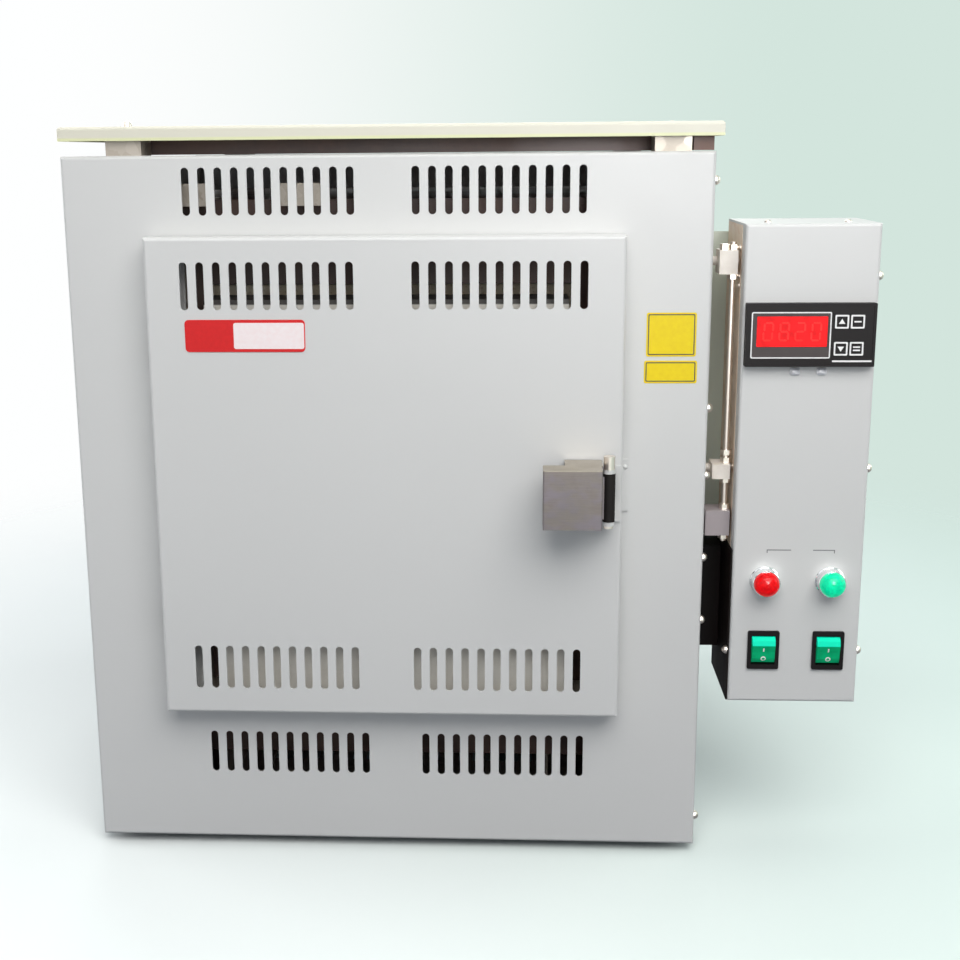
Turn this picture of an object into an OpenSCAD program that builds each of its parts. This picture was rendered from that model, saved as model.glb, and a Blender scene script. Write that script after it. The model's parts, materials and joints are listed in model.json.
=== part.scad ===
// Bench muffle kiln for jewellery work: slotted double-walled casing, side-hinged door with a
// lever latch, brick-lined chamber with wound heating elements, and a control box hung on the
// right-hand side. Sizes are in millimetres. X runs to the right, Y to the back, Z up. The
// origin is under the middle of the whole kiln, on the surface that it stands on.

/* [Casing] */
// Width of the casing across its front
body_w = 490; // [440:5:560]
// Depth of the casing from front face to back face
body_d = 480; // [460:5:560]
// Height of the casing without feet and lid
body_h = 554; // [530:2:620]
// Thickness of the casing sheet
sheet_t = 1.5; // [1:0.1:2]
// Depth of the folded edges of the front and back sheets
edge_flange = 14; // [10:1:20]
// Outer radius of the folds
fold_r = 2.5; // [2.2:0.1:4]
// Height of the rubber feet
foot_h = 8; // [5:1:20]
// Diameter of the rubber feet
foot_d = 36; // [24:1:50]
// Distance of each foot's centre from the casing's sides
foot_inset = 42; // [30:1:80]

/* [Lid] */
// How far the lid reaches past the casing on each side
lid_over = 2.5; // [1:0.5:6]
// How far the lid sits to the right of the casing's middle
lid_shift = 2.7; // [-3:0.1:3]
// Height of the lid's folded rim
lid_rim = 10.5; // [8:0.5:20]
// Air gap between the casing and the lid
lid_gap = 11; // [8:0.5:20]
// Width of the lid's stand-offs
standoff_w = 27; // [16:1:40]
// Middle of the left stand-offs, left of the casing's middle
standoff_left = 196.5; // [180:0.5:205]
// Middle of the right stand-offs, right of the casing's middle
standoff_right = 213.5; // [180:0.5:220]

/* [Vent slots] */
// Width of one slot
slot_w = 5.9; // [3:0.1:7]
// Length of one slot from end to end
slot_len = 35.6; // [16:0.1:38]
// Distance from one slot to the next
slot_pitch = 12.45; // [10:0.05:12.8]
// Slots in one group
slot_count = 11; // [3:1:11]
// Distance from the middle of the kiln to the first slot of each group
slot_mid = 24.6; // [16:0.2:26]
// How far the casing's upper row sits to the right of its middle
row_shift = -1.4; // [-3:0.1:3]
// How far the casing's lower row sits to the right of its middle
row_low_shift = 1.8; // [-3:0.1:3]
// How far the door's upper row sits to the right of its middle
door_row_shift = -0.6; // [-3:0.1:3]
// How far the door's lower row sits to the right of its middle
door_row_low_shift = -2.4; // [-3:0.1:3]
// Middle of the casing's upper row, below the top edge
row_top_in = 26.7; // [24:0.1:32]
// Middle of the casing's lower row, above the bottom edge
row_low = 76; // [60:1:90]
// How far the back's upper row sits below the front's
back_row_drop = 62; // [46:1:90]
// Middle of the door's upper row, below the door's top edge
door_row_top_in = 35.8; // [26:0.2:50]
// Middle of the door's lower row, above the door's bottom edge
door_row_low = 38.5; // [26:0.1:50]

/* [Door] */
// Casing to be seen beside the door on each side
door_side = 65.7; // [60:0.1:75]
// Casing to be seen above the door
door_top = 59.5; // [56:0.5:70]
// Bottom edge of the door above the casing's bottom edge
door_z = 119.7; // [112:0.1:126]
// Depth of the door's outer tray
door_depth = 22; // [18:0.5:30]
// Gap between the door's edge and the casing's face
door_gap = 2; // [1.5:0.1:3]
// Air gap between the outer sheet and the inner box
door_air = 12; // [8:0.5:14]
// Distance of the door's inner box from the door's left and right edges
inner_side = 41.3; // [38:0.1:48]
// Distance of the inner box from the door's top edge
inner_top = 47.5; // [40:0.5:54]
// Distance of the inner box from the door's bottom edge
inner_up = 14.3; // [12:0.1:20]
// How far the inner box reaches in behind the casing's face
inner_in = 30; // [20:1:34]
// How far the door covers the casing beside the opening
lap_side = 25.3; // [24:0.1:30]
// How far the door covers the casing above the opening
lap_top = 16.5; // [12:0.5:24]
// How far the door covers the casing under the opening
lap_low = 6.3; // [4:0.1:7]
// How far the insulating pad stands out of the inner box
pad_proud = 4; // [2:0.5:6]
// Height of the pad's step that enters the chamber
plug_in = 12; // [6:1:16]
// Space round that step
plug_gap = 9; // [8.5:0.5:14]
// Diameter of the hinge pins
hinge_pin_d = 5; // [4:0.5:6]
// Outer diameter of the hinge knuckles
knuckle_d = 8; // [7.5:0.5:9]
// Distance of the hinges from the door's top and bottom edges
hinge_in = 80; // [50:5:110]

/* [Latch] */
// Width of the grip
grip_w = 43.4; // [36:0.2:60]
// Height of the grip
grip_h = 44.6; // [36:0.2:60]
// Depth of the grip's front slab
grip_d = 20; // [12:1:26]
// Distance of the grip's front from the door's face
grip_out = 42; // [38:1:60]
// Width of the neck behind the grip
neck_w = 28; // [20:1:34]
// Distance of the latch's pivot from the door's right edge
pivot_in = 10.9; // [10.5:0.1:14]
// Distance of the latch's pivot from the door's face
pivot_out = 14; // [12:0.5:18]
// Middle height of the grip above the door's bottom edge
grip_z = 185.7; // [120:0.1:240]
// Outer diameter of the pivot sleeve
sleeve_d = 9.4; // [8.6:0.2:12]
// Height of the pivot sleeve
sleeve_h = 36.6; // [24:0.2:44]
// Diameter of the pivot pin
pivot_d = 5; // [4:0.5:6]

/* [Chamber] */
// Width of the chamber
chamber_w = 200; // [180:5:220]
// Height of the chamber from brick floor to roof
chamber_h = 165; // [150:5:190]
// Thickness of the refractory slabs
brick_t = 50; // [40:1:60]
// Thickness of the frame round the mouth
mouth_t = 30; // [20:1:40]
// Thickness of the fibre behind the rear slab
rear_fibre = 42; // [30:1:50]
// Thickness of the hearth plate
hearth_t = 12; // [8:1:16]
// Air between the inner steel case and the casing's sides
case_side = 45; // [30:1:55]
// Air between the inner steel case and the casing's top edge
case_top = 34; // [30:1:50]
// Air between the inner steel case and the casing's bottom edge
case_low = 60; // [40:1:70]
// Air between the inner steel case and the casing's back
case_rear = 52; // [46:1:80]
// Thickness of the inner steel case's sheet
inner_case_t = 1.2; // [1:0.1:2]

/* [Heating elements] */
// Diameter of the resistance wire
wire_d = 2.4; // [1.6:0.1:3]
// Outer diameter of the wound element
coil_d = 15; // [12:0.5:16]
// Distance from one turn to the next
coil_pitch = 11.5; // [10:0.1:14]
// Turns in one pass of the element
coil_turns = 22; // [8:1:22]
// Diameter of the grooves in the side slabs
groove_d = 20; // [18:0.5:24]
// Depth of the groove's axis behind the slab's face
groove_in = 7.8; // [7.6:0.1:9]
// Distance between the two passes of one element
pass_gap = 80; // [50:2:100]

/* [Control box] */
// Width of the control box
box_w = 100; // [98:1:140]
// Depth of the control box
box_d = 88; // [80:1:120]
// Height of the control box
box_h = 375.5; // [360:0.5:420]
// Bottom of the control box above the casing's bottom edge
box_z = 125.5; // [100:0.5:150]
// Gap between the casing and the control box
box_gap = 23.2; // [20:0.1:30]
// Top of the upper bracket below the control box's top
bracket_down = 20; // [14:0.5:60]
// Bottom of the middle bracket above the control box's bottom
bracket_mid = 179; // [170:0.5:240]
// Bottom of the lower bracket above the control box's bottom
bracket_low = 133.5; // [130:0.5:136]
// Thickness of the control box's sheet
box_t = 1.5; // [1:0.1:2]

/* [Controls] */
// Width of the controller's bezel
bezel_w = 96; // [72:1:96]
// Height of the controller's bezel
bezel_h = 47.6; // [44:0.2:52]
// Depth of the controller's bezel
bezel_d = 7; // [4:0.5:10]
// How far the controller sits to the right of the control box's middle
bezel_shift = -0.1; // [-1:0.1:1]
// Middle of the controller below the control box's top
bezel_down = 81.8; // [60:0.2:110]
// Side length of one key
key_w = 10.4; // [8:0.2:10.6]
// Distance from one key to the next across
key_dx = 11.6; // [11.4:0.1:12]
// Distance from one key to the next down
key_dz = 20.2; // [16:0.2:22]
// Travel of one key
key_travel = 0.7; // [0.4:0.1:1]
// Middle of the lamps above the control box's bottom
lamp_up = 100.8; // [90:0.2:120]
// Distance of the lamps and the switches from their middle line
control_dx = 25.2; // [24:0.2:26]
// Diameter of a lamp's ring
lamp_ring_d = 22.8; // [21:0.2:26]
// Diameter of a lamp's lens
lamp_lens_d = 19.4; // [16:0.2:19.6]
// How far a lamp stands out
lamp_out = 19.5; // [16:0.5:26]
// Height of a lamp's collar
lamp_collar = 11; // [6:0.5:12]
// Width of a switch's frame
switch_w = 24.6; // [23:0.2:28]
// Height of a switch's frame
switch_h = 31.4; // [30:0.2:36]
// Middle of the switches above the control box's bottom
switch_up = 43.6; // [36:0.2:52]
// Width of a rocker
rocker_w = 17.8; // [14:0.2:18]
// Height of a rocker
rocker_h = 22.4; // [18:0.2:23]

/* [Fits] */
// Radial clearance of a turning fit
fit_r = 0.05; // [0.02:0.01:0.08]
// Space between pieces that move past each other
run_gap = 0.5; // [0.3:0.05:0.8]
// Diameter of the casing's screw heads
screw_d = 7; // [5:0.5:9]
// Height of the casing's screw heads
screw_h = 4.2; // [2:0.1:5]

/* [Hidden] */
$fn = 48;
eps = 0.01;

// The kiln's own frame: the casing's middle, front face and bottom edge are the zero points
// of everything below, and place() moves them to the origin under the whole kiln
door_w = body_w - 2 * door_side;
door_h = body_h - door_z - door_top;
door_y = -(door_gap + door_depth);
front_y = door_y - grip_out;
box_x = body_w / 2 + box_gap;
x_min = -body_w / 2 - max(lid_over - lid_shift, screw_h + 0.05);
x_max = box_x + box_w + screw_h + 0.05;
off_x = -(x_min + x_max) / 2;
off_y = -(front_y + body_d + lid_over) / 2;

module place() {
  translate([off_x, off_y, foot_h]) children();
}

// Extrusions along Y and X of an outline drawn in XZ or YZ
module along_y(y0, len) {
  translate([0, y0 + len, 0]) rotate([90, 0, 0]) linear_extrude(height = len) children();
}

module along_x(x0, len) {
  translate([x0, 0, 0]) rotate([90, 0, 90]) linear_extrude(height = len) children();
}

module box3(x0, x1, y0, y1, z0, z1) {
  translate([x0, y0, z0]) cube([x1 - x0, y1 - y0, z1 - z0]);
}

module rod_x(x0, len, y, z, d) {
  translate([x0, y, z]) rotate([0, 90, 0]) cylinder(h = len, d = d);
}

module rod_y(x, y0, len, z, d) {
  translate([x, y0 + len, z]) rotate([90, 0, 0]) cylinder(h = len, d = d);
}

module rod_z(x, y, z0, len, d) {
  translate([x, y, z0]) cylinder(h = len, d = d);
}

// Outline of a slot with round ends, standing upright
module slot2d(w, l) {
  square([w, l - w], center = true);
  translate([0, (l - w) / 2]) circle(d = w, $fn = 20);
  translate([0, -(l - w) / 2]) circle(d = w, $fn = 20);
}

// Two groups of slots, left and right of the middle
module slot_row(z) {
  for (side = [-1, 1], i = [0 : slot_count - 1])
    translate([side * (slot_mid + i * slot_pitch), z]) slot2d(slot_w, slot_len);
}

// Upright outline with its two front corners rounded
module fold2d(w, d, r) {
  translate([-w / 2, r]) square([w, d - r]);
  translate([-w / 2 + r, 0]) square([w - 2 * r, d]);
  for (side = [-1, 1]) translate([side * (w / 2 - r), r]) circle(r = r, $fn = 32);
}

// Block with its front edges rounded on all four sides: front at y = 0, bottom at z = 0
module fold_block(w, h, d, r) {
  intersection() {
    linear_extrude(height = h) fold2d(w, d, r);
    along_x(-w / 2, w) translate([0, h / 2]) rotate(-90) fold2d(h, d, r);
  }
}

// Tray folded from one sheet: a face at y = 0 with four rims running back
module tray(w, h, d, t, r) {
  difference() {
    fold_block(w, h, d, r);
    translate([0, t, t]) fold_block(w - 2 * t, h - 2 * t, d, r - t);
  }
}

// Casing
open_w = door_w - 2 * lap_side;
open_z0 = door_z + lap_low;
open_z1 = door_z + door_h - lap_top;
inner_w = door_w - 2 * inner_side;
inner_h = door_h - inner_up - inner_top;
inner_z = door_z + inner_up;
row_top = body_h - row_top_in;

module front_panel() {
  color([0.81, 0.82, 0.81]) place() difference() {
    tray(body_w, body_h, edge_flange, sheet_t, fold_r);
    box3(-open_w / 2, open_w / 2, -1, sheet_t + 1, open_z0, open_z1);
    along_y(-1, sheet_t + 2) {
      translate([row_shift, 0]) slot_row(row_top);
      translate([row_low_shift, 0]) slot_row(row_low);
    }
  }
}

// Outline of a side sheet seen from above: its front and back edges are joggled inwards, so
// that they lie inside the rims of the front and back sheets
module side2d() {
  t = sheet_t;
  lap = t + 0.1;
  front = [edge_flange + t + 0.6, edge_flange + 0.3, 3];
  back = [for (y = front) body_d - y];
  polygon([
    [0, front[0]], [0, back[0]], [-lap, back[1]], [-lap, back[2]], [-lap - t, back[2]],
    [-lap - t, back[1] - 0.6], [-t, back[0] - 0.6], [-t, front[0] + 0.6],
    [-lap - t, front[1] + 0.6], [-lap - t, front[2]], [-lap, front[2]], [-lap, front[1]]]);
}

module side_panel() {
  translate([body_w / 2, 0, sheet_t + 0.1]) linear_extrude(height = body_h - 2 * sheet_t - 0.2) side2d();
}

module right_panel() {
  color([0.79, 0.8, 0.79]) place() side_panel();
}

module left_panel() {
  color([0.79, 0.8, 0.79]) place() mirror([1, 0, 0]) side_panel();
}

module back_panel() {
  color([0.79, 0.8, 0.79]) place() difference() {
    translate([0, body_d, 0]) mirror([0, 1, 0]) tray(body_w, body_h, edge_flange, sheet_t, fold_r);
    along_y(body_d - sheet_t - 1, sheet_t + 2) {
      slot_row(row_top - back_row_drop);
      slot_row(row_low);
    }
  }
}

// The base sheet lies on the bottom rims of the front and back sheets, clear of their folds
base_z0 = sheet_t + 0.1;
base_z1 = base_z0 + sheet_t;

module base_plate() {
  x1 = body_w / 2 - 2 * sheet_t - 0.4;
  color([0.6, 0.6, 0.6]) place() difference() {
    box3(-x1, x1, fold_r + 0.1, body_d - fold_r - 0.1, base_z0, base_z1);
    for (y = [0.35, 0.65]) translate([0, y * body_d, -1]) linear_extrude(height = 8) slot_row(0);
  }
}

module feet() {
  color([0.12, 0.12, 0.12]) place()
    for (sx = [-1, 1], y = [foot_inset, body_d - foot_inset])
      translate([sx * (body_w / 2 - foot_inset), y, -foot_h]) {
        cylinder(h = foot_h - 1, d1 = foot_d - 4, d2 = foot_d);
        translate([0, 0, foot_h - 1]) cylinder(h = base_z0 + 0.95, d = foot_d);
      }
}

// Lid: a tray on four bent bridges, so that warm air from the double wall gets out under it
lid_z0 = body_h + lid_gap;
lid_z1 = lid_z0 + lid_rim;
lid_w = body_w + 2 * lid_over;
lid_y0 = -lid_over - 0.5;
lid_y1 = body_d + lid_over;
bridge_h = lid_gap + lid_rim - sheet_t - 0.2;
bridge_len = 30;
bridge_x = [-standoff_left, standoff_right];
bridge_y = [2, body_d - 2 - bridge_len];
lid_hole = 4.4;

module lid() {
  color([0.91, 0.9, 0.84]) place() difference() {
    translate([lid_shift, lid_y0, lid_z1]) rotate([-90, 0, 0]) tray(lid_w, lid_y1 - lid_y0, lid_rim, sheet_t, fold_r);
    for (x = bridge_x, y = bridge_y) rod_z(x, y + bridge_len / 2, lid_z1 - 5, 10, lid_hole);
  }
}

module lid_standoffs() {
  t = sheet_t;
  color([0.83, 0.82, 0.8]) place()
    for (x = bridge_x, y = bridge_y) translate([x, y, body_h + 0.1]) difference() {
      box3(-standoff_w / 2, standoff_w / 2, 0, bridge_len, 0, bridge_h);
      box3(-standoff_w / 2 + t, standoff_w / 2 - t, t, bridge_len - t, -1, bridge_h - t);
      rod_z(0, bridge_len / 2, 0, 40, lid_hole);
    }
}

// Inverted tray under the lid that keeps the lid cool. A narrow part of it reaches forward,
// right of the front stand-off.
shield_y0 = bridge_y[0] + bridge_len + 4;
shield_tongue_y = 4;

module heat_shield() {
  z0 = body_h + 0.6;
  z1 = lid_z1 - sheet_t - 0.15;
  x0 = -standoff_left + 4.5;
  x1 = body_w / 2 - 1.5;
  tongue_x = standoff_right + standoff_w / 2 + 1.5;
  t = inner_case_t;
  color([0.22, 0.13, 0.11]) place() difference() {
    union() {
      box3(x0, x1, shield_y0, body_d - shield_y0, z0, z1);
      box3(tongue_x, x1, shield_tongue_y, shield_y0 + t, z0, z1);
    }
    box3(x0 + t, x1 - t, shield_y0 + t, body_d - shield_y0 - t, z0 - 1, z1 - t);
    box3(tongue_x + t, x1 - t, shield_tongue_y + t, shield_y0, z0 - 1, z1 - t);
  }
}

// Dome head with its short shank, standing on z = 0
module dome_screw(d, h, shank_d, shank_l) {
  r = (d * d / 4 + h * h) / (2 * h);
  rotate_extrude($fn = 32) intersection() {
    translate([0, h - r]) circle(r = r, $fn = 64);
    square([d, h]);
  }
  translate([0, 0, -shank_l]) cylinder(h = shank_l + eps, d = shank_d);
}

// Heights of the screws in the right-hand side sheet
side_screw_z = [533, 361.8, 309, 242.8, 191.6, 23.4];

module casing_screws() {
  color([0.9, 0.9, 0.88]) place() {
    translate([bridge_x[0], bridge_y[0] + bridge_len / 2, lid_z1 + 0.05]) dome_screw(screw_d, 4.4, 3.6, 6);
    translate([bridge_x[1], bridge_y[0] + bridge_len / 2, lid_z1 + 0.05]) dome_screw(screw_d, 0.8, 3.6, 6);
    for (x = bridge_x) translate([x, bridge_y[1] + bridge_len / 2, lid_z1 + 0.05]) dome_screw(screw_d, 0.8, 3.6, 6);
    for (z = side_screw_z) translate([body_w / 2 + 0.05, 6.5, min(z, body_h - 20)]) rotate([0, 90, 0])
      dome_screw(screw_d, screw_h, 0.1, eps);
    for (side = [-1, 1], k = [0.06, 0.35, 0.65, 0.94])
      translate([side * (body_w / 2 + 0.05), body_d - 7, k * body_h]) rotate([0, side * 90, 0])
        dome_screw(screw_d, screw_h, 0.1, eps);
  }
}

// Inner steel case with its rails and brackets
case_x = body_w / 2 - case_side;
case_z0 = case_low;
case_z1 = body_h - case_top;
chamber_z = inner_z + inner_h / 2;
pad_y = inner_in + pad_proud;
mouth_y = pad_y + run_gap;
brick_y = mouth_y + mouth_t;
case_y0 = mouth_y + 5.5;
case_y1 = body_d - case_rear;
slab_y1 = case_y1 - rear_fibre - inner_case_t - 0.2;
rear_y = slab_y1 - brick_t;
frame_w = inner_w + 16;
frame_z0 = inner_z - 7;
frame_z1 = inner_z + inner_h + 7;

// Where the element leads and the thermocouple pass through the rear
coil_r = (coil_d - wire_d) / 2;
coil_x = chamber_w / 2 + groove_in;
lead_x = coil_x + coil_r;
bush_d = 12;
thermo_z = chamber_z + chamber_h / 2 - 38;
thermo_d = 8;

module rear_holes(y0, y1, gap) {
  for (side = [-1, 1], dz = [-0.5, 0.5])
    rod_y(side * lead_x, y0, y1 - y0, chamber_z + dz * pass_gap, bush_d + 2 * gap);
  rod_y(0, y0, y1 - y0, thermo_z, thermo_d + 2 * gap);
}

module inner_case() {
  t = inner_case_t;
  color([0.24, 0.15, 0.12]) place() difference() {
    box3(-case_x, case_x, case_y0, case_y1, case_z0, case_z1);
    box3(-case_x + t, case_x - t, case_y0 + t, case_y1 - t, case_z0 + t, case_z1 - t);
    box3(-frame_w / 2 - 0.3, frame_w / 2 + 0.3, case_y0 - 1, case_y0 + t + 1, frame_z0 - 0.3, frame_z1 + 0.3);
    rear_holes(case_y1 - t - 1, case_y1 + 1, 0.3);
  }
}

module support_rails() {
  t = 2;
  w = 30;
  h = case_z0 - base_z1 - 0.2;
  color([0.55, 0.55, 0.56]) place()
    for (side = [-1, 1]) translate([side * 0.7 * case_x, case_y0 + 20, base_z1 + 0.1]) difference() {
      box3(-w / 2, w / 2, 0, case_y1 - case_y0 - 40, 0, h);
      box3(-w / 2 + t, w / 2 + 1, -1, case_y1 - case_y0, t, h - t);
    }
}

// Light sheet brackets that join the front sheet to the inner case, seen through the slots.
// Each has its left and right edge, and the edges of the tab that meets the front sheet where
// there is no slot.
bracket_face_y = 13;
bracket_rise = 13;

module case_brackets() {
  t = 1.4;
  y0 = sheet_t + 0.1;
  color([0.72, 0.7, 0.72]) place()
    for (b = [[-159.3, -134.3, -159.3, -154.5], [-84, -50, -72, -67.2], [-12, 12, -12, 12], [164, 186, 164, 186]])
      translate([0, 0, case_z1]) {
        box3(b[0], b[1], bracket_face_y, bracket_face_y + t, -4, bracket_rise);
        box3(b[0], b[1], bracket_face_y, case_y0 + 20, 0.1, t + 0.1);
        box3(b[2], b[3], y0, bracket_face_y + eps, bracket_rise - t, bracket_rise);
        box3(b[2], b[3], y0, y0 + t, 0, bracket_rise);
      }
}

// Sheet collar that lines the door opening back to the inner case
module door_collar() {
  t = inner_case_t;
  y0 = sheet_t + 0.1;
  y1 = case_y0 - 0.2;
  color([0.62, 0.62, 0.61]) place() difference() {
    union() {
      box3(-open_w / 2 - t, open_w / 2 + t, y0, y1, open_z0 - t, open_z1 + t);
      box3(-open_w / 2 - 11, open_w / 2 + 11, y0, y0 + t, open_z0 - 11, open_z1 + 11);
    }
    box3(-open_w / 2, open_w / 2, y0 - 1, y1 + 1, open_z0, open_z1);
  }
}

module mouth_frame() {
  color([0.93, 0.9, 0.83]) place() difference() {
    box3(-frame_w / 2, frame_w / 2, mouth_y, brick_y, frame_z0, frame_z1);
    box3(-chamber_w / 2, chamber_w / 2, mouth_y - 1, brick_y + 1, chamber_z - chamber_h / 2, chamber_z + chamber_h / 2);
  }
}

// Fibre that fills the inner case round the slabs
module insulation() {
  t = inner_case_t + 0.1;
  bx = chamber_w / 2 + brick_t + 0.1;
  bz = chamber_h / 2 + brick_t + 0.1;
  color([0.95, 0.94, 0.9]) place() difference() {
    box3(-case_x + t, case_x - t, case_y0 + t, case_y1 - t, case_z0 + t, case_z1 - t);
    box3(-bx, bx, case_y0, slab_y1 + 0.1, chamber_z - bz, chamber_z + bz);
    box3(-frame_w / 2 - 0.1, frame_w / 2 + 0.1, case_y0, brick_y + 0.1, frame_z0 - 0.1, frame_z1 + 0.1);
    rear_holes(slab_y1 - 1, case_y1 + 1, 0.3);
  }
}

// Refractory slabs of the chamber
slab_len = rear_y - brick_y;
turns = min(coil_turns, floor((slab_len - 14) / coil_pitch));
coil_y1 = rear_y - 4;
coil_y0 = coil_y1 - turns * coil_pitch;

module side_slab() {
  x0 = chamber_w / 2;
  difference() {
    box3(x0, x0 + brick_t, brick_y + 0.05, rear_y - 0.05, chamber_z - chamber_h / 2 + 0.05, chamber_z + chamber_h / 2 - 0.05);
    for (dz = [-0.5, 0.5]) rod_y(coil_x, brick_y - 1, slab_len + 2, chamber_z + dz * pass_gap, groove_d);
    box3(x0 - 1, lead_x + 3.5, coil_y0 - 4, coil_y0 + 4, chamber_z - pass_gap / 2, chamber_z + pass_gap / 2);
  }
}

module muffle_left() {
  color([0.9, 0.83, 0.7]) place() mirror([1, 0, 0]) side_slab();
}

module muffle_right() {
  color([0.9, 0.83, 0.7]) place() side_slab();
}

module cross_slab(z0) {
  bx = chamber_w / 2 + brick_t;
  box3(-bx, bx, brick_y + 0.05, rear_y - 0.05, z0, z0 + brick_t);
}

module muffle_roof() {
  color([0.9, 0.83, 0.7]) place() cross_slab(chamber_z + chamber_h / 2);
}

module muffle_floor() {
  color([0.9, 0.83, 0.7]) place() cross_slab(chamber_z - chamber_h / 2 - brick_t);
}

module muffle_rear() {
  bx = chamber_w / 2 + brick_t;
  bz = chamber_h / 2 + brick_t;
  color([0.9, 0.83, 0.7]) place() difference() {
    box3(-bx, bx, rear_y, slab_y1, chamber_z - bz, chamber_z + bz);
    rear_holes(rear_y - 1, slab_y1 + 1, 0.3);
  }
}

// Loose plate on the floor with rounded corners and two shallow grooves for the tongs
hearth_y0 = pad_y + plug_in + 6;

module hearth_plate() {
  w = chamber_w - 8;
  l = rear_y - 4 - hearth_y0;
  r = 6;
  z0 = chamber_z - chamber_h / 2 + 0.1;
  color([0.85, 0.74, 0.6]) place() difference() {
    translate([0, hearth_y0 + l / 2, z0]) linear_extrude(height = hearth_t) {
      square([w - 2 * r, l], center = true);
      square([w, l - 2 * r], center = true);
      for (sx = [-1, 1], sy = [-1, 1]) translate([sx * (w / 2 - r), sy * (l / 2 - r)]) circle(r = r, $fn = 32);
    }
    for (side = [-1, 1]) rod_y(side * w / 4, hearth_y0 - 1, 30, z0 - 1, 10);
  }
}

// One heating element: a single wire that winds forward in the lower groove, goes up in a
// channel at the front and winds back in the upper groove. Each point carries the direction
// that points away from the winding's axis, so that the tube doesn't twist.
steps = 8;
function winding(y0, dir, z, dz) =
  [for (i = [0 : turns * steps]) let (a = 360 * i / steps)
    [[coil_x + coil_r * cos(a), y0 + dir * coil_pitch * i / steps, z + dz * coil_r * sin(a)], [cos(a), 0, dz * sin(a)]]];
lead_end = case_y1 + 16;
element_path = concat(
  [[[lead_x, lead_end, chamber_z - pass_gap / 2], [1, 0, 0]], [[lead_x, coil_y1 + 3, chamber_z - pass_gap / 2], [1, 0, 0]]],
  winding(coil_y1, -1, chamber_z - pass_gap / 2, 1),
  [[[lead_x, coil_y0 - 1.5, chamber_z - pass_gap / 2 + 6], [1, 0, 0]],
   [[lead_x, coil_y0 - 1.5, chamber_z + pass_gap / 2 - 6], [1, 0, 0]]],
  winding(coil_y0, 1, chamber_z + pass_gap / 2, 1),
  [[[lead_x, coil_y1 + 3, chamber_z + pass_gap / 2], [1, 0, 0]], [[lead_x, lead_end, chamber_z + pass_gap / 2], [1, 0, 0]]]);

function unit(v) = v / norm(v);
function tangent(p, i) = unit(p[min(i + 1, len(p) - 1)][0] - p[max(i - 1, 0)][0]);
function ring(p, i, r, n) = let (t = tangent(p, i), u = unit(p[i][1] - (p[i][1] * t) * t), v = cross(t, u))
  [for (k = [0 : n - 1]) p[i][0] + r * (cos(360 * k / n) * u + sin(360 * k / n) * v)];

module sweep(p, r, n = 6) {
  pts = [for (i = [0 : len(p) - 1]) each ring(p, i, r, n)];
  last = (len(p) - 1) * n;
  faces = concat(
    [for (k = [1 : n - 2]) [0, k, k + 1]],
    [for (i = [0 : len(p) - 2], k = [0 : n - 1]) each
      let (a = i * n + k, b = i * n + (k + 1) % n) [[a, a + n, b], [b, a + n, b + n]]],
    [for (k = [1 : n - 2]) [last, last + k + 1, last + k]]);
  polyhedron(points = pts, faces = faces);
}

// Least distance between stretches of the wire that are half a turn or more apart
function least_gap(p) = min([for (i = [0 : 2 : len(p) - 7], j = [i + 5 : len(p) - 1]) norm(p[i][0] - p[j][0])]) - wire_d;

module element_right() {
  echo(least_gap_of_element_mm = least_gap(element_path));
  color([0.5, 0.48, 0.46]) place() sweep(element_path, wire_d / 2);
}

module element_left() {
  echo(least_gap_of_element_mm = least_gap(element_path));
  color([0.5, 0.48, 0.46]) place() mirror([1, 0, 0]) sweep(element_path, wire_d / 2);
}

// Ceramic bushes that carry the element's leads through the rear, with a brass nut on each
module element_bushes() {
  color([0.92, 0.9, 0.85]) place()
    for (side = [-1, 1], dz = [-0.5, 0.5]) difference() {
      union() {
        rod_y(side * lead_x, rear_y + 0.3, case_y1 + 8 - rear_y, chamber_z + dz * pass_gap, bush_d);
        rod_y(side * lead_x, case_y1 + 0.3, 5, chamber_z + dz * pass_gap, bush_d + 6);
      }
      rod_y(side * lead_x, rear_y - 1, case_y1 - rear_y + 20, chamber_z + dz * pass_gap, wire_d + 0.6);
    }
}

module thermocouple() {
  color([0.8, 0.8, 0.78]) place() {
    rod_y(0, rear_y - 24, case_y1 + 1 - rear_y + 24, thermo_z, thermo_d);
    rod_y(0, case_y1 + 0.3, 18, thermo_z, 24);
  }
}

// Door: outer tray, inner box, insulating pad
door_z1 = door_z + door_h;
hinge_x = -door_w / 2 + sheet_t + knuckle_d / 2 + 0.3;
hinge_y = -(door_gap + door_depth) / 2 - 2;
hinge_z = [door_z + hinge_in, door_z + door_h - hinge_in];
knuckle_h = 14;
hinge_foot = 12;
pivot_x = door_w / 2 - pivot_in;
pivot_y = door_y - pivot_out;
grip_mid = door_z + grip_z;
grip_z0 = grip_mid - grip_h / 2;
sleeve_z0 = grip_z0 + 0.1;
sleeve_z1 = sleeve_z0 + sleeve_h;
hook_z = grip_mid - 13.4;
hook_h = 10;

// Space that the latch's hook needs where it passes through the door's face
module hook_slot(y0, y1) {
  box3(pivot_x - 6.5, pivot_x + 4.2, y0, y1, hook_z - hook_h / 2 - 1, hook_z + hook_h / 2 + 1);
}

module door_cover() {
  color([0.83, 0.84, 0.83]) place() difference() {
    translate([0, door_y, door_z]) tray(door_w, door_h, door_depth, sheet_t, fold_r);
    along_y(door_y - 1, sheet_t + 2) {
      translate([door_row_shift, 0]) slot_row(door_z1 - door_row_top_in);
      translate([door_row_low_shift, 0]) slot_row(door_z + door_row_low);
    }
    hook_slot(door_y - 1, door_y + sheet_t + 1);
    for (z = hinge_z) box3(-door_w / 2 - 1, -door_w / 2 + sheet_t + 1, hinge_y - 3, 1, z - knuckle_h - 1, z + 0.6);
  }
}

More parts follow.
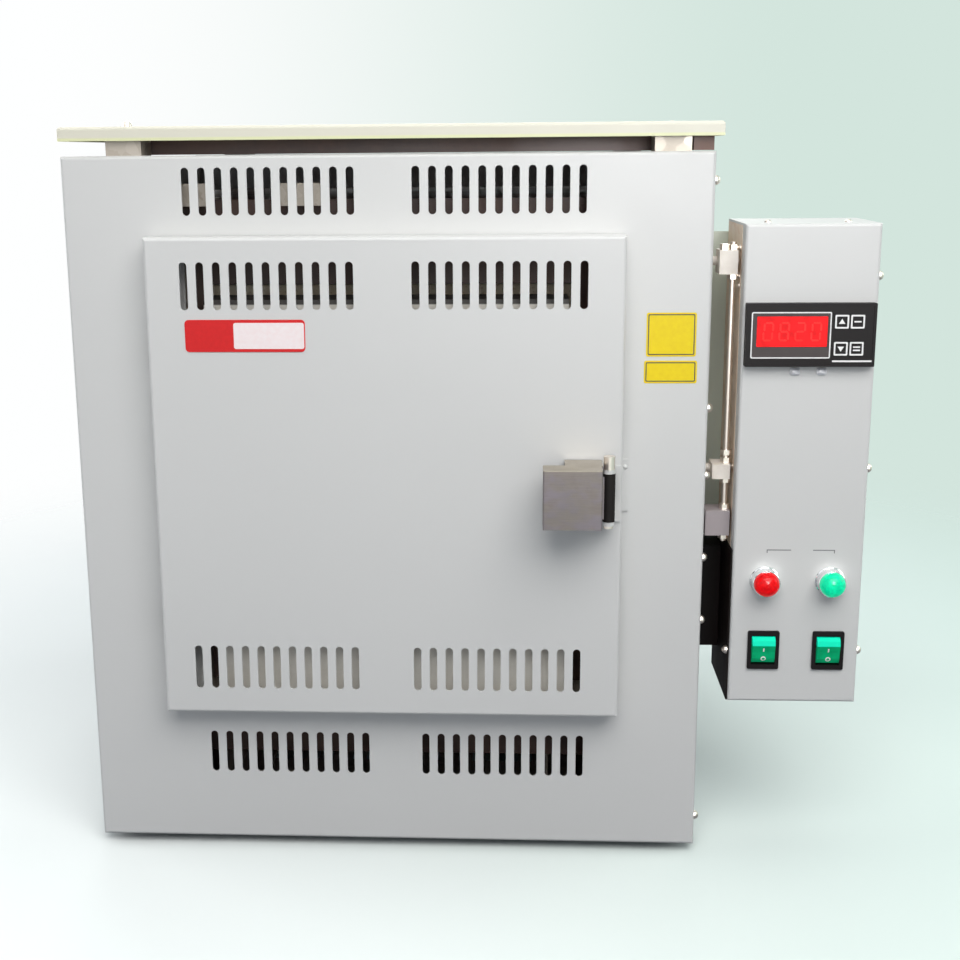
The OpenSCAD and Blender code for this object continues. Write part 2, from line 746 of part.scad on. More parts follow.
box_y = door_y + sheet_t + door_air;

module door_inner_box() {
  t = inner_case_t;
  color([0.87, 0.83, 0.74]) place() {
    difference() {
      box3(-inner_w / 2, inner_w / 2, box_y, inner_in, inner_z, inner_z + inner_h);
      box3(-inner_w / 2 + t, inner_w / 2 - t, box_y + t, inner_in + 1, inner_z + t, inner_z + inner_h - t);
    }
    for (x = [-0.4, 0.4], z = [0.22, 0.78])
      rod_y(x * inner_w, door_y + sheet_t + 0.1, door_air - 0.1 + eps, inner_z + z * inner_h, 10);
  }
}

module door_pad() {
  t = inner_case_t + 0.1;
  w = chamber_w - 2 * plug_gap;
  h = chamber_h - 2 * plug_gap;
  color([0.95, 0.93, 0.88]) place() {
    box3(-inner_w / 2 + t, inner_w / 2 - t, box_y + t, pad_y, inner_z + t, inner_z + inner_h - t);
    box3(-w / 2, w / 2, pad_y - eps, pad_y + plug_in, chamber_z - h / 2, chamber_z + h / 2);
  }
}

// Hinges: the casing's halves reach into the door's tray, the door's halves sit above them
module hinge_brackets() {
  color([0.7, 0.7, 0.7]) place() for (z = hinge_z) difference() {
    union() {
      rod_z(hinge_x, hinge_y, z - knuckle_h, knuckle_h - 0.25, knuckle_d);
      box3(hinge_x + knuckle_d / 2 - 2, hinge_x + knuckle_d / 2, hinge_y, -0.1, z - knuckle_h, z - 0.25);
      box3(hinge_x + knuckle_d / 2 - 2, hinge_x + knuckle_d / 2 + hinge_foot, -1.6, -0.1, z - knuckle_h, z - 0.25);
    }
    rod_z(hinge_x, hinge_y, z - knuckle_h - 1, knuckle_h + 2, hinge_pin_d + 2 * fit_r);
  }
}

module door_hinges() {
  y0 = door_y + sheet_t + 0.1;
  color([0.7, 0.7, 0.7]) place() for (z = hinge_z) difference() {
    union() {
      rod_z(hinge_x, hinge_y, z + 0.25, knuckle_h, knuckle_d);
      box3(hinge_x - 1, hinge_x + knuckle_d / 2, y0, hinge_y, z + 0.25, z + 0.25 + knuckle_h);
      box3(hinge_x - 1, hinge_x + 24, y0, y0 + 1.6, z + 0.25, z + 12 + knuckle_h);
    }
    rod_z(hinge_x, hinge_y, z - 1, knuckle_h + 3, hinge_pin_d + 2 * fit_r);
  }
}

module hinge_pins() {
  color([0.75, 0.75, 0.76]) place() for (z = hinge_z) {
    rod_z(hinge_x, hinge_y, z - knuckle_h - 0.1, 2 * knuckle_h + 1.5, hinge_pin_d);
    rod_z(hinge_x, hinge_y, z - knuckle_h - 2.1, 2.02, hinge_pin_d + 2.4);
  }
}

// Latch: a grip on a lever that turns about an upright pin. Its hook passes through the door
// and catches behind the keeper on the casing; pulling the grip outwards frees it.
module latch_handle() {
  x1 = pivot_x - sleeve_d / 2 - 0.5;
  gx1 = pivot_x - sleeve_d / 2 - 1.6;
  color([0.55, 0.52, 0.5]) place() difference() {
    union() {
      translate([0, 0, grip_z0]) linear_extrude(height = grip_h) {
        translate([gx1 - grip_w + 1, front_y]) square([grip_w - 2, grip_d]);
        translate([gx1 - grip_w, front_y + 1]) square([grip_w, grip_d - 2]);
        for (x = [gx1 - grip_w + 1, gx1 - 1], y = [front_y + 1, front_y + grip_d - 1]) translate([x, y]) circle(r = 1, $fn = 24);
        translate([x1 - neck_w, front_y + grip_d - 1]) square([neck_w, door_y - 2 - front_y - grip_d + 1]);
      }
      box3(x1 - 1, pivot_x - 1.5, pivot_y - 3, pivot_y + 3, sleeve_z0 + 2, sleeve_z1 - 2);
    }
    rod_z(pivot_x, pivot_y, grip_z0 - 1, grip_h + 2, sleeve_d + 0.1);
  }
}

module latch_sleeve() {
  color([0.09, 0.08, 0.08]) place() difference() {
    rod_z(pivot_x, pivot_y, sleeve_z0, sleeve_h, sleeve_d);
    rod_z(pivot_x, pivot_y, sleeve_z0 - 1, sleeve_h + 2, pivot_d + 2 * fit_r);
  }
}

hook_t = 3;
hook_y1 = -5;
hook_lip = 3.2;

module latch_hook() {
  color([0.78, 0.77, 0.75]) place() difference() {
    union() {
      box3(pivot_x, pivot_x + hook_t, pivot_y, hook_y1, hook_z - hook_h / 2, hook_z + hook_h / 2);
      box3(pivot_x, pivot_x + hook_t + hook_lip, hook_y1 - 3, hook_y1, hook_z - hook_h / 2, hook_z + hook_h / 2);
    }
    rod_z(pivot_x, pivot_y, hook_z - hook_h, 2 * hook_h, sleeve_d + 0.1);
  }
}

// Bracket on the door with an ear above and below the sleeve
ear_t = 3;

module latch_bracket() {
  r = sleeve_d / 2 - 0.2;
  color([0.86, 0.85, 0.82]) place() difference() {
    union() {
      box3(pivot_x - 5, door_w / 2 - 1, door_y - 2, door_y - 0.1, sleeve_z0 - 0.3 - ear_t, sleeve_z1 + 0.3 + ear_t);
      for (z = [sleeve_z0 - 0.3 - ear_t, sleeve_z1 + 0.3]) {
        rod_z(pivot_x, pivot_y, z, ear_t, 2 * r);
        box3(pivot_x - r, pivot_x + r, pivot_y, door_y - 1, z, z + ear_t);
      }
    }
    rod_z(pivot_x, pivot_y, sleeve_z0 - 10, sleeve_h + 20, pivot_d + 2 * fit_r);
    hook_slot(door_y - 3, door_y + 1);
  }
}

module latch_pin() {
  color([0.95, 0.94, 0.92]) place() {
    rod_z(pivot_x, pivot_y, sleeve_z0 - ear_t - 2, sleeve_h + 2 * ear_t + 3, pivot_d);
    rod_z(pivot_x, pivot_y, sleeve_z1 + 0.35 + ear_t, 10, sleeve_d - 0.8);
    rod_z(pivot_x, pivot_y, sleeve_z0 - 0.35 - ear_t - 2, 2, sleeve_d - 2);
  }
}

// Keeper on the casing's face: its lip stands in front of the hook's, and a screw holds its
// foot beside the door's edge
module latch_keeper() {
  t = 1.6;
  x0 = pivot_x + hook_t + 0.8;
  x1 = door_w / 2 - sheet_t - 0.9;
  foot_x = door_w / 2 + 6.4;
  y1 = hook_y1 - 3 - 0.6;
  z0 = hook_z - 10;
  z1 = hook_z + 31;
  color([0.85, 0.84, 0.81]) place() {
    box3(x0, x1, y1 - 3.2, y1, z0, z0 + 18);
    box3(x1 - t, x1, y1 - 3.2, -0.1, z0, z0 + 18);
    box3(x1 - t, foot_x, -t, -0.1, z0, z1);
    translate([foot_x - 2.6, -t + eps, z1 - 6]) rotate([90, 0, 0]) dome_screw(4, 1.2, 0.1, eps);
  }
}

// Control box: a folded cover closed by an L-shaped chassis of bare sheet
box_mid = box_x + box_w / 2;
box_z1 = box_z + box_h;
side_rim = 14;
lamps_x = box_mid + 0.2;
switches_x = box_mid + 1.4;
lamp_z = box_z + lamp_up;
switch_z = box_z + switch_up;
bezel_x = box_mid + bezel_shift;
bezel_z = box_z1 - bezel_down;
body_w2 = (bezel_w - 8) / 2;
body_h2 = (bezel_h - 4) / 2;
lamp_hole = 16;
rocker_gap = 0.4;
rocker_room = rocker_h / 2 + 0.7;
switch_w2 = rocker_w / 2 + rocker_gap + 1.6;
switch_h2 = rocker_room + 2.2;

module round_rect(w, h, r) {
  square([w - 2 * r, h], center = true);
  square([w, h - 2 * r], center = true);
  for (sx = [-1, 1], sz = [-1, 1]) translate([sx * (w / 2 - r), sz * (h / 2 - r)]) circle(r = r, $fn = 24);
}

module box_cover() {
  g = 0.2;
  color([0.8, 0.8, 0.79]) place() difference() {
    translate([box_mid, 0, box_z]) tray(box_w, box_h, box_d, box_t, 2.2);
    box3(box_x - 1, box_x + box_t + 0.05, side_rim, box_d + 1, box_z + box_t + 0.1, box_z1 - box_t - 0.1);
    box3(bezel_x - body_w2 - g, bezel_x + body_w2 + g, -1, box_t + 1, bezel_z - body_h2 - g, bezel_z + body_h2 + g);
    for (side = [-1, 1]) {
      rod_y(lamps_x + side * control_dx, -1, box_t + 2, lamp_z, lamp_hole);
      translate([switches_x + side * control_dx, 0, switch_z])
        box3(-switch_w2 - g, switch_w2 + g, -1, box_t + 1, -switch_h2 - g, switch_h2 + g);
    }
  }
}

gland_z = box_z + 34;

module box_chassis() {
  t = box_t;
  lap = t + 0.1;
  w = box_w - t - 0.1;
  d = box_d - 0.1;
  color([0.66, 0.62, 0.57]) place() difference() {
    translate([box_x, 0, box_z + t + 0.15]) linear_extrude(height = box_h - 2 * t - 0.3) polygon([
      [0, side_rim + t + 0.4], [0, d], [w, d], [w, d - 12], [w - t, d - 12], [w - t, d - t], [t, d - t],
      [t, side_rim + t + 1], [lap + t, side_rim + 1], [lap + t, 4], [lap, 4], [lap, side_rim + 0.3]]);
    rod_y(box_mid, d - t - 1, t + 2, gland_z, 16.4);
    rod_x(box_x - 1, t + 2, 45, box_z + 70, 26);
  }
}

// Dark cover over the lower part of the box's left side, and the duct for the wires
plate_t = 1.2;
plate_z = [box_z + 0.3, box_z + bracket_low - 9.5];
duct_y = [56, box_d + 12];
duct_z = [box_z + 27, plate_z[1] - 11];

module box_side_plate() {
  color([0.09, 0.06, 0.06]) place()
    box3(box_x - plate_t - 0.1, box_x - 0.1, 2.2, box_d - 0.5, plate_z[0], plate_z[1]);
}

module cable_duct() {
  color([0.06, 0.05, 0.05]) place()
    box3(body_w / 2 + 0.1, box_x - plate_t - 0.2, duct_y[0], duct_y[1], duct_z[0], duct_z[1]);
}

// Folded brackets that hold the box off the casing, each on a spacer bolt, and the rod with
// its nuts between them
rod_x0 = box_x - 5.6;
rod_y0 = 20;
rod_d = 4.4;
bracket_h = [18, 11.5, 20];
bracket_z0 = [box_z1 - bracket_down - bracket_h[0], box_z + bracket_mid, box_z + bracket_low];
bracket_z = [for (i = [0 : 2]) [bracket_z0[i], bracket_z0[i] + bracket_h[i]]];
bracket_x = [[6.5, 3], [6.5, 3], [2.5, 2]];
bracket_y = [12, 34];
spacer_d = 7;

module box_brackets() {
  t = 1.6;
  spacer_y = bracket_y[1] - spacer_d / 2 - 1;
  color([0.9, 0.88, 0.85]) place() for (i = [0 : 2]) let (z = bracket_z[i]) {
    x0 = body_w / 2 + bracket_x[i][0];
    x1 = box_x - bracket_x[i][1];
    difference() {
      box3(x0, x1, bracket_y[0], bracket_y[1], z[0], z[1]);
      box3(x0 + t, x1 - t, bracket_y[0] + t, bracket_y[1] + 1, z[0] + t, z[1] - t);
      rod_z(rod_x0, rod_y0, z[0] - 1, z[1] - z[0] + 2, rod_d + 0.2);
    }
    rod_x(body_w / 2 + 0.1, box_gap - 0.2, spacer_y, (z[0] + z[1]) / 2, spacer_d);
  }
}

// Bolt and nut on top of the upper bracket, and a nut of height h on the rod at height z
module nut(x, y, z, h, af) {
  translate([x, y, z]) cylinder(h = h, d = af / cos(30), $fn = 6);
}

module tie_rod() {
  z0 = bracket_z[2][0] - 6;
  color([0.85, 0.82, 0.76]) place() {
    rod_z(rod_x0, rod_y0, z0, bracket_z[0][1] + 6 - z0, rod_d);
    for (n = [[bracket_z[0][1] + 0.1, 3.6], [bracket_z[0][0] - 4.1, 4], [bracket_z[1][1] + 0.1, 4.4],
              [bracket_z[1][1] + 6.5, 4], [bracket_z[1][0] - 4.1, 4], [bracket_z[2][1] + 0.1, 4],
              [bracket_z[2][0] - 4.1, 4]])
      nut(rod_x0, rod_y0, n[0], n[1], 7);
    nut(body_w / 2 + 10.5, bracket_y[0] + 5, bracket_z[0][1] + 0.05, 4.6, 6.4);
  }
}

// Sheet behind the gap that carries the control box on the casing's side
mount_over = 18;

module box_mount() {
  x0 = body_w / 2 + 0.1;
  y0 = box_d + 0.1;
  t = sheet_t;
  color([0.62, 0.66, 0.63]) place() {
    box3(x0, box_x + mount_over, y0, y0 + t, duct_z[1] + 1, box_z1 - 10);
    box3(x0, x0 + t, y0, y0 + 26, duct_z[1] + 1, box_z1 - 10);
  }
}

// Screw heads on the control box: right side, top, left side and dark side plate
module box_screws() {
  d = screw_d - 1;
  color([0.92, 0.92, 0.9]) place() {
    for (k = [0.112, 0.505, 0.897]) translate([box_x + box_w + 0.05, 6.5, box_z + k * box_h]) rotate([0, 90, 0])
      dome_screw(screw_d, screw_h, 0.1, eps);
    for (k = [0.2, 0.8]) translate([box_x + k * box_w, 24, box_z1 + 0.05]) dome_screw(d, 2, 0.1, eps);
    for (k = [0.498, 0.875, 0.894, 0.95]) translate([box_x - 0.05, 22, box_z + k * box_h]) rotate([0, -90, 0])
      dome_screw(d - 1, 2, 0.1, eps);
    translate([box_x - plate_t - 0.15, 6.2, box_z + 41.3]) rotate([0, -90, 0]) dome_screw(screw_d, 3.6, 0.1, eps);
    for (x = [-9.1, 10.9]) translate([bezel_x + x, -0.05, bezel_z - bezel_h / 2 - 3.6]) rotate([90, 0, 0])
      dome_screw(4.6, 1.6, 0.1, eps);
  }
}

// Controller: framed bezel with a body behind it, a window and four sprung keys
window_w = 52.2;
window_h = 22.8;
window_x = bezel_x - bezel_w / 2 + 34.3;
window_z = bezel_z + 2.6;
key_x = bezel_x + bezel_w / 2 - 19.7;
key_gap = 0.25;
key_y0 = -bezel_d - 0.2;
key_y1 = key_y0 + 2.4;

module at_key(i, j) {
  translate([key_x + (i - 0.5) * key_dx, 0, bezel_z + (0.5 - j) * key_dz]) children();
}

module controller() {
  pocket = key_w / 2 + key_gap;
  color([0.07, 0.07, 0.07]) place() difference() {
    union() {
      translate([bezel_x, 0, bezel_z]) along_y(-bezel_d, bezel_d - 0.05) round_rect(bezel_w, bezel_h, 0.8);
      box3(bezel_x - body_w2, bezel_x + body_w2, -0.1, min(60, box_d - 10), bezel_z - body_h2, bezel_z + body_h2);
    }
    translate([bezel_x, 0, bezel_z]) along_y(-bezel_d - 1, 1.6) round_rect(bezel_w - 4, bezel_h - 4, 0.6);
    translate([window_x, 0, window_z]) along_y(-bezel_d - 1, 2.8) round_rect(window_w + 0.3, window_h + 0.3, 0.8);
    for (i = [0, 1], j = [0, 1]) at_key(i, j) box3(-pocket, pocket, -bezel_d - 1, key_y1 + key_travel + 0.4, -pocket, pocket);
  }
}

module controller_window() {
  color([0.95, 0.2, 0.22]) place() translate([window_x, 0, window_z])
    along_y(-bezel_d + 0.75, 1) round_rect(window_w, window_h, 0.7);
}

module key_cap(i, j) {
  color([0.16, 0.16, 0.16]) place() at_key(i, j) along_y(key_y0, key_y1 - key_y0) round_rect(key_w, key_w, 0.8);
}

module key_up() { key_cap(0, 0); }
module key_set() { key_cap(1, 0); }
module key_down() { key_cap(0, 1); }
module key_back() { key_cap(1, 1); }

// Lamps: a threaded body with a flange and a chromed collar, and a domed lens in it
module at_lamp(side) {
  translate([lamps_x + side * control_dx, 0, lamp_z]) rotate([90, 0, 0]) children();
}

lamp_seat = 3;

module lamp_rings() {
  r = lamp_ring_d / 2;
  l = lamp_lens_d / 2 + 0.15;
  color([0.85, 0.85, 0.85]) place() for (side = [-1, 1]) at_lamp(side) rotate_extrude()
    polygon([[0, -22], [lamp_hole / 2 - 0.1, -22], [lamp_hole / 2 - 0.1, 0.05], [r, 0.05], [r, 1.6],
      [r - 0.6, 2.2], [l + 0.8, 2.2], [l + 0.8, lamp_collar - 0.4], [l + 0.4, lamp_collar], [l, lamp_collar],
      [l, lamp_seat], [0, lamp_seat]]);
}

module lamp_lens() {
  r = lamp_lens_d / 2;
  z1 = lamp_collar + 1;
  rotate_extrude() polygon(concat([[0, lamp_seat + 0.1], [r, lamp_seat + 0.1]],
    [for (a = [0 : 15 : 75]) [r * cos(a), z1 + (lamp_out - z1) * sin(a)]], [[0, lamp_out]]));
}

module lamp_red() {
  color([0.85, 0.08, 0.1]) place() at_lamp(-1) lamp_lens();
}

module lamp_green() {
  color([0.38, 0.98, 0.84]) place() at_lamp(1) lamp_lens();
}

// Rocker switches, stored with their lower half pressed in
switch_face = 2;
rocker_y = 0.2;
rocker_tilt = 10;
pin_d = 3;

module switch_frames() {
  color([0.06, 0.06, 0.06]) place() for (side = [-1, 1])
    translate([switches_x + side * control_dx, 0, switch_z]) difference() {
      union() {
        along_y(-switch_face, switch_face - 0.05) round_rect(switch_w, switch_h, 1.4);
        box3(-switch_w2, switch_w2, -0.1, 22, -switch_h2, switch_h2);
      }
      box3(-rocker_w / 2 - rocker_gap, rocker_w / 2 + rocker_gap, -switch_face - 1, 9, -rocker_room, rocker_room);
      rod_x(-rocker_w / 2 - rocker_gap - 1.1, rocker_w + 2 * rocker_gap + 2.2, rocker_y, 0, pin_d + 2 * fit_r);
    }
}

module rocker(side) {
  h = rocker_h / 2;
  p = h * 0.5;
  color([0, 0.68, 0.5]) place() translate([switches_x + side * control_dx, rocker_y, switch_z]) {
    along_x(-rocker_w / 2, rocker_w) rotate(rocker_tilt)
      polygon([[-0.6, h], [-3.4, h - 1.8], [-4.7, p], [-4.2, 0], [-4.7, -p], [-3.4, 1.8 - h], [-0.6, -h],
        [1, -h], [5, -5], [5, 5], [1, h]]);
    rod_x(-rocker_w / 2 - rocker_gap - 1, rocker_w + 2 * rocker_gap + 2, 0, 0, pin_d);
  }
}

module rocker_left() { rocker(-1); }
module rocker_right() { rocker(1); }

// Gland for the supply cord in the back of the control box
module cable_gland() {
  y = box_d;
  color([0.08, 0.08, 0.08]) place() difference() {
    union() {
      rod_y(box_mid, y - 9, 9.5, gland_z, 16);
      translate([box_mid, y + 7, gland_z]) rotate([90, 0, 0]) cylinder(h = 6.95, d = 23, $fn = 6);
      rod_y(box_mid, y + 6.9, 10, gland_z, 18);
    }
    rod_y(box_mid, y - 10, 30, gland_z, 8);
  }
}

front_panel();
left_panel();
right_panel();
back_panel();
base_plate();
feet();
lid();
lid_standoffs();
heat_shield();
casing_screws();
inner_case();
support_rails();
case_brackets();
door_collar();
mouth_frame();
insulation();
muffle_left();
muffle_right();
muffle_roof();
muffle_floor();
muffle_rear();
hearth_plate();
element_left();
element_right();
element_bushes();
thermocouple();
hinge_brackets();
hinge_pins();
latch_keeper();
door_cover();
door_inner_box();
door_pad();
door_hinges();
latch_bracket();
latch_pin();
latch_handle();
latch_sleeve();
latch_hook();
box_brackets();
tie_rod();
box_mount();
cable_duct();
box_side_plate();
box_cover();
box_chassis();
box_screws();
controller();
controller_window();
key_up();
key_down();
key_set();
key_back();
lamp_rings();
lamp_red();
lamp_green();
switch_frames();
rocker_left();
rocker_right();
cable_gland();
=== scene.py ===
# %% [markdown]
# # A bench kiln for jewellery work
# This kiln is a box inside a box. Warm air rises between the two walls and leaves through rows of
# slots. A door hangs on the left of the front, a square metal grip latches it on the right, and a
# narrow control box stands off the right-hand side. The shapes come from a CAD model. This lesson
# gives them their finishes and adds the small things that a CAD model leaves out: plates, printed
# lines, screw heads with their recesses and a smoothly wound heating wire.

# %% Load the model
import bmesh
import bpy
import json
import math
from mathutils import Matrix, Vector


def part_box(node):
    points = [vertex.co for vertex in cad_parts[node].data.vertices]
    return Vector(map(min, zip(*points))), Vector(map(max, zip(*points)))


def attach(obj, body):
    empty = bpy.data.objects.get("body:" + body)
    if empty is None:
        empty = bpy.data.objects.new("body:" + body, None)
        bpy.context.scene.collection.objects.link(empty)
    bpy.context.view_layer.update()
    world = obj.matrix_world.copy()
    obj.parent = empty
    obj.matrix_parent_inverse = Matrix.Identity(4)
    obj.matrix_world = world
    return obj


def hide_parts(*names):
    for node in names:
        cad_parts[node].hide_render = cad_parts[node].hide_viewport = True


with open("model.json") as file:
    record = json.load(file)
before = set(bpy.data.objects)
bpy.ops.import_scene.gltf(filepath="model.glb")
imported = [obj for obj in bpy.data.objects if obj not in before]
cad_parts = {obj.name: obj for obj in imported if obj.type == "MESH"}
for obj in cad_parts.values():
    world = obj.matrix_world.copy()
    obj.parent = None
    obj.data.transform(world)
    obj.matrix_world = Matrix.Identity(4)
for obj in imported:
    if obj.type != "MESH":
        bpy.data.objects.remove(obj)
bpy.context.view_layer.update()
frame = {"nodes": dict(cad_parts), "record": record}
kiln = frame["nodes"]

# %% [markdown]
# Everything on the front was measured from three lines of the casing: its upright middle line, its
# front face and its bottom edge. The helper `spot` turns such a measurement in millimetres into a
# place in the scene in metres, so that the sizes below can be read like a drawing. Two more helpers
# go the other way and say where a CAD piece is on that drawing.

# %% From millimetres on the casing to metres in the scene, and back
MM_PER_M = 1000
casing_low, casing_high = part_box("front_panel")
ZERO = Vector(((casing_low.x + casing_high.x) / 2, casing_low.y, casing_low.z))


def spot(x, y, z):
    return ZERO + Vector((x, y, z)) / MM_PER_M


def middle_mm(name):
    """The x, y and z of a CAD piece's middle."""
    return [((low + high) / 2 - zero) * MM_PER_M for low, high, zero in zip(*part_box(name), ZERO)]


def front_mm(name):
    """The y of a CAD piece's front: 0 is the casing's face, and less than 0 is before it."""
    return (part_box(name)[0].y - ZERO.y) * MM_PER_M


print("casing's zero point:", [round(v, 4) for v in ZERO])

# %% [markdown]
# ## Writing node trees as sums
# A procedural finish is arithmetic on patterns. Wiring the nodes by hand hides that arithmetic, so a
# small class wraps one socket and lets Python's own operators add the Math nodes. Colours are mixed
# with a Mix node, because a Math node would turn them grey. The same classes write the finishes, the
# surround and the Geometry Nodes trees.

# %% A socket that can be added, multiplied and compared
class Wire:
    def __init__(self, graph, socket):
        self.graph = graph
        self.socket = socket

    def maths(self, operation, other):
        return self.graph.add("ShaderNodeMath", {0: self, 1: other}, operation=operation)[0]

    def __add__(self, other):
        return self.maths("ADD", other)

    def __mul__(self, other):
        return self.maths("MULTIPLY", other)

    def __rsub__(self, other):
        return self * -1.0 + other

    def __gt__(self, other):
        return self.maths("GREATER_THAN", other)

    def between(self, low_edge, high_edge):
        """0 below low_edge, 1 above high_edge and a soft step between them."""
        edges = {"Value": self, "From Min": low_edge, "From Max": high_edge}
        return self.graph.add("ShaderNodeMapRange", edges, interpolation_type="SMOOTHSTEP")[0]


# %% A node, whose outputs are wires, and a tree of nodes
class Node:
    def __init__(self, graph, node):
        self.graph = graph
        self.node = node

    def __getitem__(self, key):
        return Wire(self.graph, self.node.outputs[key])


class Graph:
    def __init__(self, tree):
        self.tree = tree
        self.tree.nodes.clear()

    def add(self, kind, inputs=None, **settings):
        """A new node. Its settings come before its inputs, because they decide which inputs it has."""
        node = self.tree.nodes.new(kind)
        for key, value in settings.items():
            setattr(node, key, value)
        for key, value in (inputs or {}).items():
            self.feed(node.inputs[key], value)
        return Node(self, node)

    def feed(self, socket, value):
        if isinstance(value, Wire):
            self.tree.links.new(value.socket, socket)
        else:
            socket.default_value = value

    def coords(self, scale=(1, 1, 1)):
        place = self.add("ShaderNodeTexCoord")["Object"]
        return self.add("ShaderNodeMapping", {"Vector": place, "Scale": scale})[0]

    def axis(self, letter):
        place = self.add("ShaderNodeTexCoord")["Object"]
        return self.add("ShaderNodeSeparateXYZ", {0: place})[letter]

    def noise(self, scale, detail=2.0, rough=0.5, stretch=(1, 1, 1)):
        pattern = {"Vector": self.coords(stretch), "Scale": scale, "Detail": detail, "Roughness": rough}
        return self.add("ShaderNodeTexNoise", pattern)["Fac"]

    def mix(self, factor, first, second):
        """Colour inputs and outputs of a Mix node go by number, since its names aren't unique."""
        return self.add("ShaderNodeMix", {0: factor, 6: first, 7: second}, data_type="RGBA")[2]


# %% A finish: one material with a Principled shader at its end
class Finish(Graph):
    def __init__(self, name, **plain):
        """A keyword such as coat_weight sets the shader's input of that name, Coat Weight."""
        self.material = bpy.data.materials.new(name)
        self.material.use_nodes = True
        super().__init__(self.material.node_tree)
        self.shader = self.tree.nodes.new("ShaderNodeBsdfPrincipled")
        self.output = self.tree.nodes.new("ShaderNodeOutputMaterial")
        self.tree.links.new(self.shader.outputs[0], self.output.inputs[0])
        for key, value in plain.items():
            self.shader.inputs[key.replace("_", " ").title().replace("Ior", "IOR")].default_value = value

    def colour(self, value):
        self.feed(self.shader.inputs["Base Color"], value)

    def rough(self, value):
        self.feed(self.shader.inputs["Roughness"], value)

    def bump(self, height, strength, depth_mm):
        relief = {"Height": height, "Strength": strength, "Distance": depth_mm / MM_PER_M}
        self.feed(self.shader.inputs["Normal"], self.add("ShaderNodeBump", relief)[0])

    def cover(self, mask, colour, names=("Base Color",)):
        """Lays a colour over what the named inputs show so far, where the mask is 1."""
        for name in names:
            socket = self.shader.inputs[name]
            under = Wire(self, socket.links[0].from_socket)
            self.feed(socket, self.mix(mask, under, colour))


# %% Colours
def linear(red, green, blue):
    """A colour read from a screen, 0 to 255, as the shader's own linear values."""
    values = [v / 255 for v in (red, green, blue)]
    return tuple(v / 12.92 if v <= 0.04045 else ((v + 0.055) / 1.055) ** 2.4 for v in values) + (1.0,)


def shaded(tint, factor, lift=0.0):
    """A darker or lighter kind of a colour."""
    return tuple(min(1.0, v * factor + lift) for v in tint[:3]) + (1.0,)


# %% [markdown]
# ## Painted sheet
# Most of the kiln is powder-coated steel. Powder melts into a skin with a faint orange-peel ripple
# about a millimetre wide, so the finish is a nearly even grey, a very fine ripple in the bump and a
# slow change in gloss. The door and the casing share it. The lid's coat is creamier and shines less.

# %% Powder coats
def orange_peel(finish, strength):
    finish.bump(finish.noise(620.0, 1.5), strength, 0.12)


def powder_coat(name, tint, gloss, peel=0.1, shine=0.5):
    finish = Finish(name, roughness=gloss, specular_ior_level=shine)
    slow = finish.noise(2.2).between(0.3, 0.7)
    speckle = finish.noise(1400.0, 1.0)
    finish.colour(finish.mix(slow * 0.6 + speckle * 0.3, tint, shaded(tint, 0.93)))
    finish.rough(finish.noise(35.0, 3.0) * 0.12 + (gloss - 0.06))
    orange_peel(finish, peel)
    return finish


grey_paint = powder_coat("casing_grey_paint", linear(213, 213, 211), 0.4)
lid_paint = powder_coat("lid_cream_paint", linear(224, 221, 204), 0.42, shine=0.35)
# Painted shade: the mounting sheet stands in for the shaded green background in the gap to the control box.
mount_paint = powder_coat("mounting_sheet_paint", linear(204, 212, 198), 0.5)
# Painted shade: the near-black brown sheet on the control box's lower left side, which lies in shadow there.
black_sheet = powder_coat("black_sheet_paint", linear(15, 6, 5), 0.6, peel=0.2, shine=0.12)
print("painted finishes made")

# %% [markdown]
# Three angle brackets tie the control box to the casing. They are one piece in the model, but the
# upper two are soiled cream and the lowest is a darker grey. A mask along Z, with its step above the
# lowest bracket, gives each its own colour.

# %% Brackets of the control box
LOW_BRACKET_REACH = 0.03
STEP_HALF = 0.004

bracket_paint = Finish("bracket_paint", roughness=0.45)
step_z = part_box("box_brackets")[0].z + LOW_BRACKET_REACH
grey_part = 1 - bracket_paint.axis("Z").between(step_z - STEP_HALF, step_z + STEP_HALF)
soiled = bracket_paint.noise(70.0, 3.0).between(0.35, 0.7)
cream = bracket_paint.mix(soiled, linear(232, 224, 214), linear(214, 204, 192))
bracket_paint.colour(bracket_paint.mix(grey_part, cream, linear(158, 148, 150)))
orange_peel(bracket_paint, 0.1)

# %% [markdown]
# The edge under the lid's rim turns a yellower colour, as a thin line along its lowest two
# millimetres. Its place is known from the lid's own box, so the mask is a step along Z too.

# %% Yellower line under the lid's rim, full to the first height and gone above the second
YELLOW_FULL, YELLOW_END = 0.0012, 0.003

rim_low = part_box("lid")[0].z
yellow_line = 1 - lid_paint.axis("Z").between(rim_low + YELLOW_FULL, rim_low + YELLOW_END)
lid_paint.cover(yellow_line * 0.7, linear(228, 232, 172))

# %% [markdown]
# The inner walls get hot. Their dark coat turns brown in clouds, and is less even the closer one
# looks. The door's inner box has a heat-proof pale coat that shows through the slots.

# %% Heat-marked paint
def heated_paint(name, cool, hot, gloss):
    finish = Finish(name, roughness=gloss, metallic=0.15)
    clouds = finish.noise(14.0, 5.0, 0.6).between(0.35, 0.7)
    finish.colour(finish.mix(clouds, cool, hot))
    finish.rough(clouds * 0.2 + (gloss - 0.1))
    finish.bump(finish.noise(260.0, 3.0), 0.2, 0.15)
    return finish


dark_paint = heated_paint("inner_wall_brown", linear(64, 41, 35), linear(98, 70, 60), 0.5)
beige_sheet = heated_paint("inner_box_pale", linear(226, 222, 214), linear(208, 202, 192), 0.55)

# %% [markdown]
# Hot air leaves over the top of the door's inner box. Its top face and the first few millimetres
# below it are painted nearly black, as painted shade: the sheet above each upper slot of the door
# shades the box behind it, and so these slots look dark.

# %% Painted shade on top of the door's inner box, full down to the first depth and gone at the second
SHADE_FULL, SHADE_END = 0.003, 0.0042

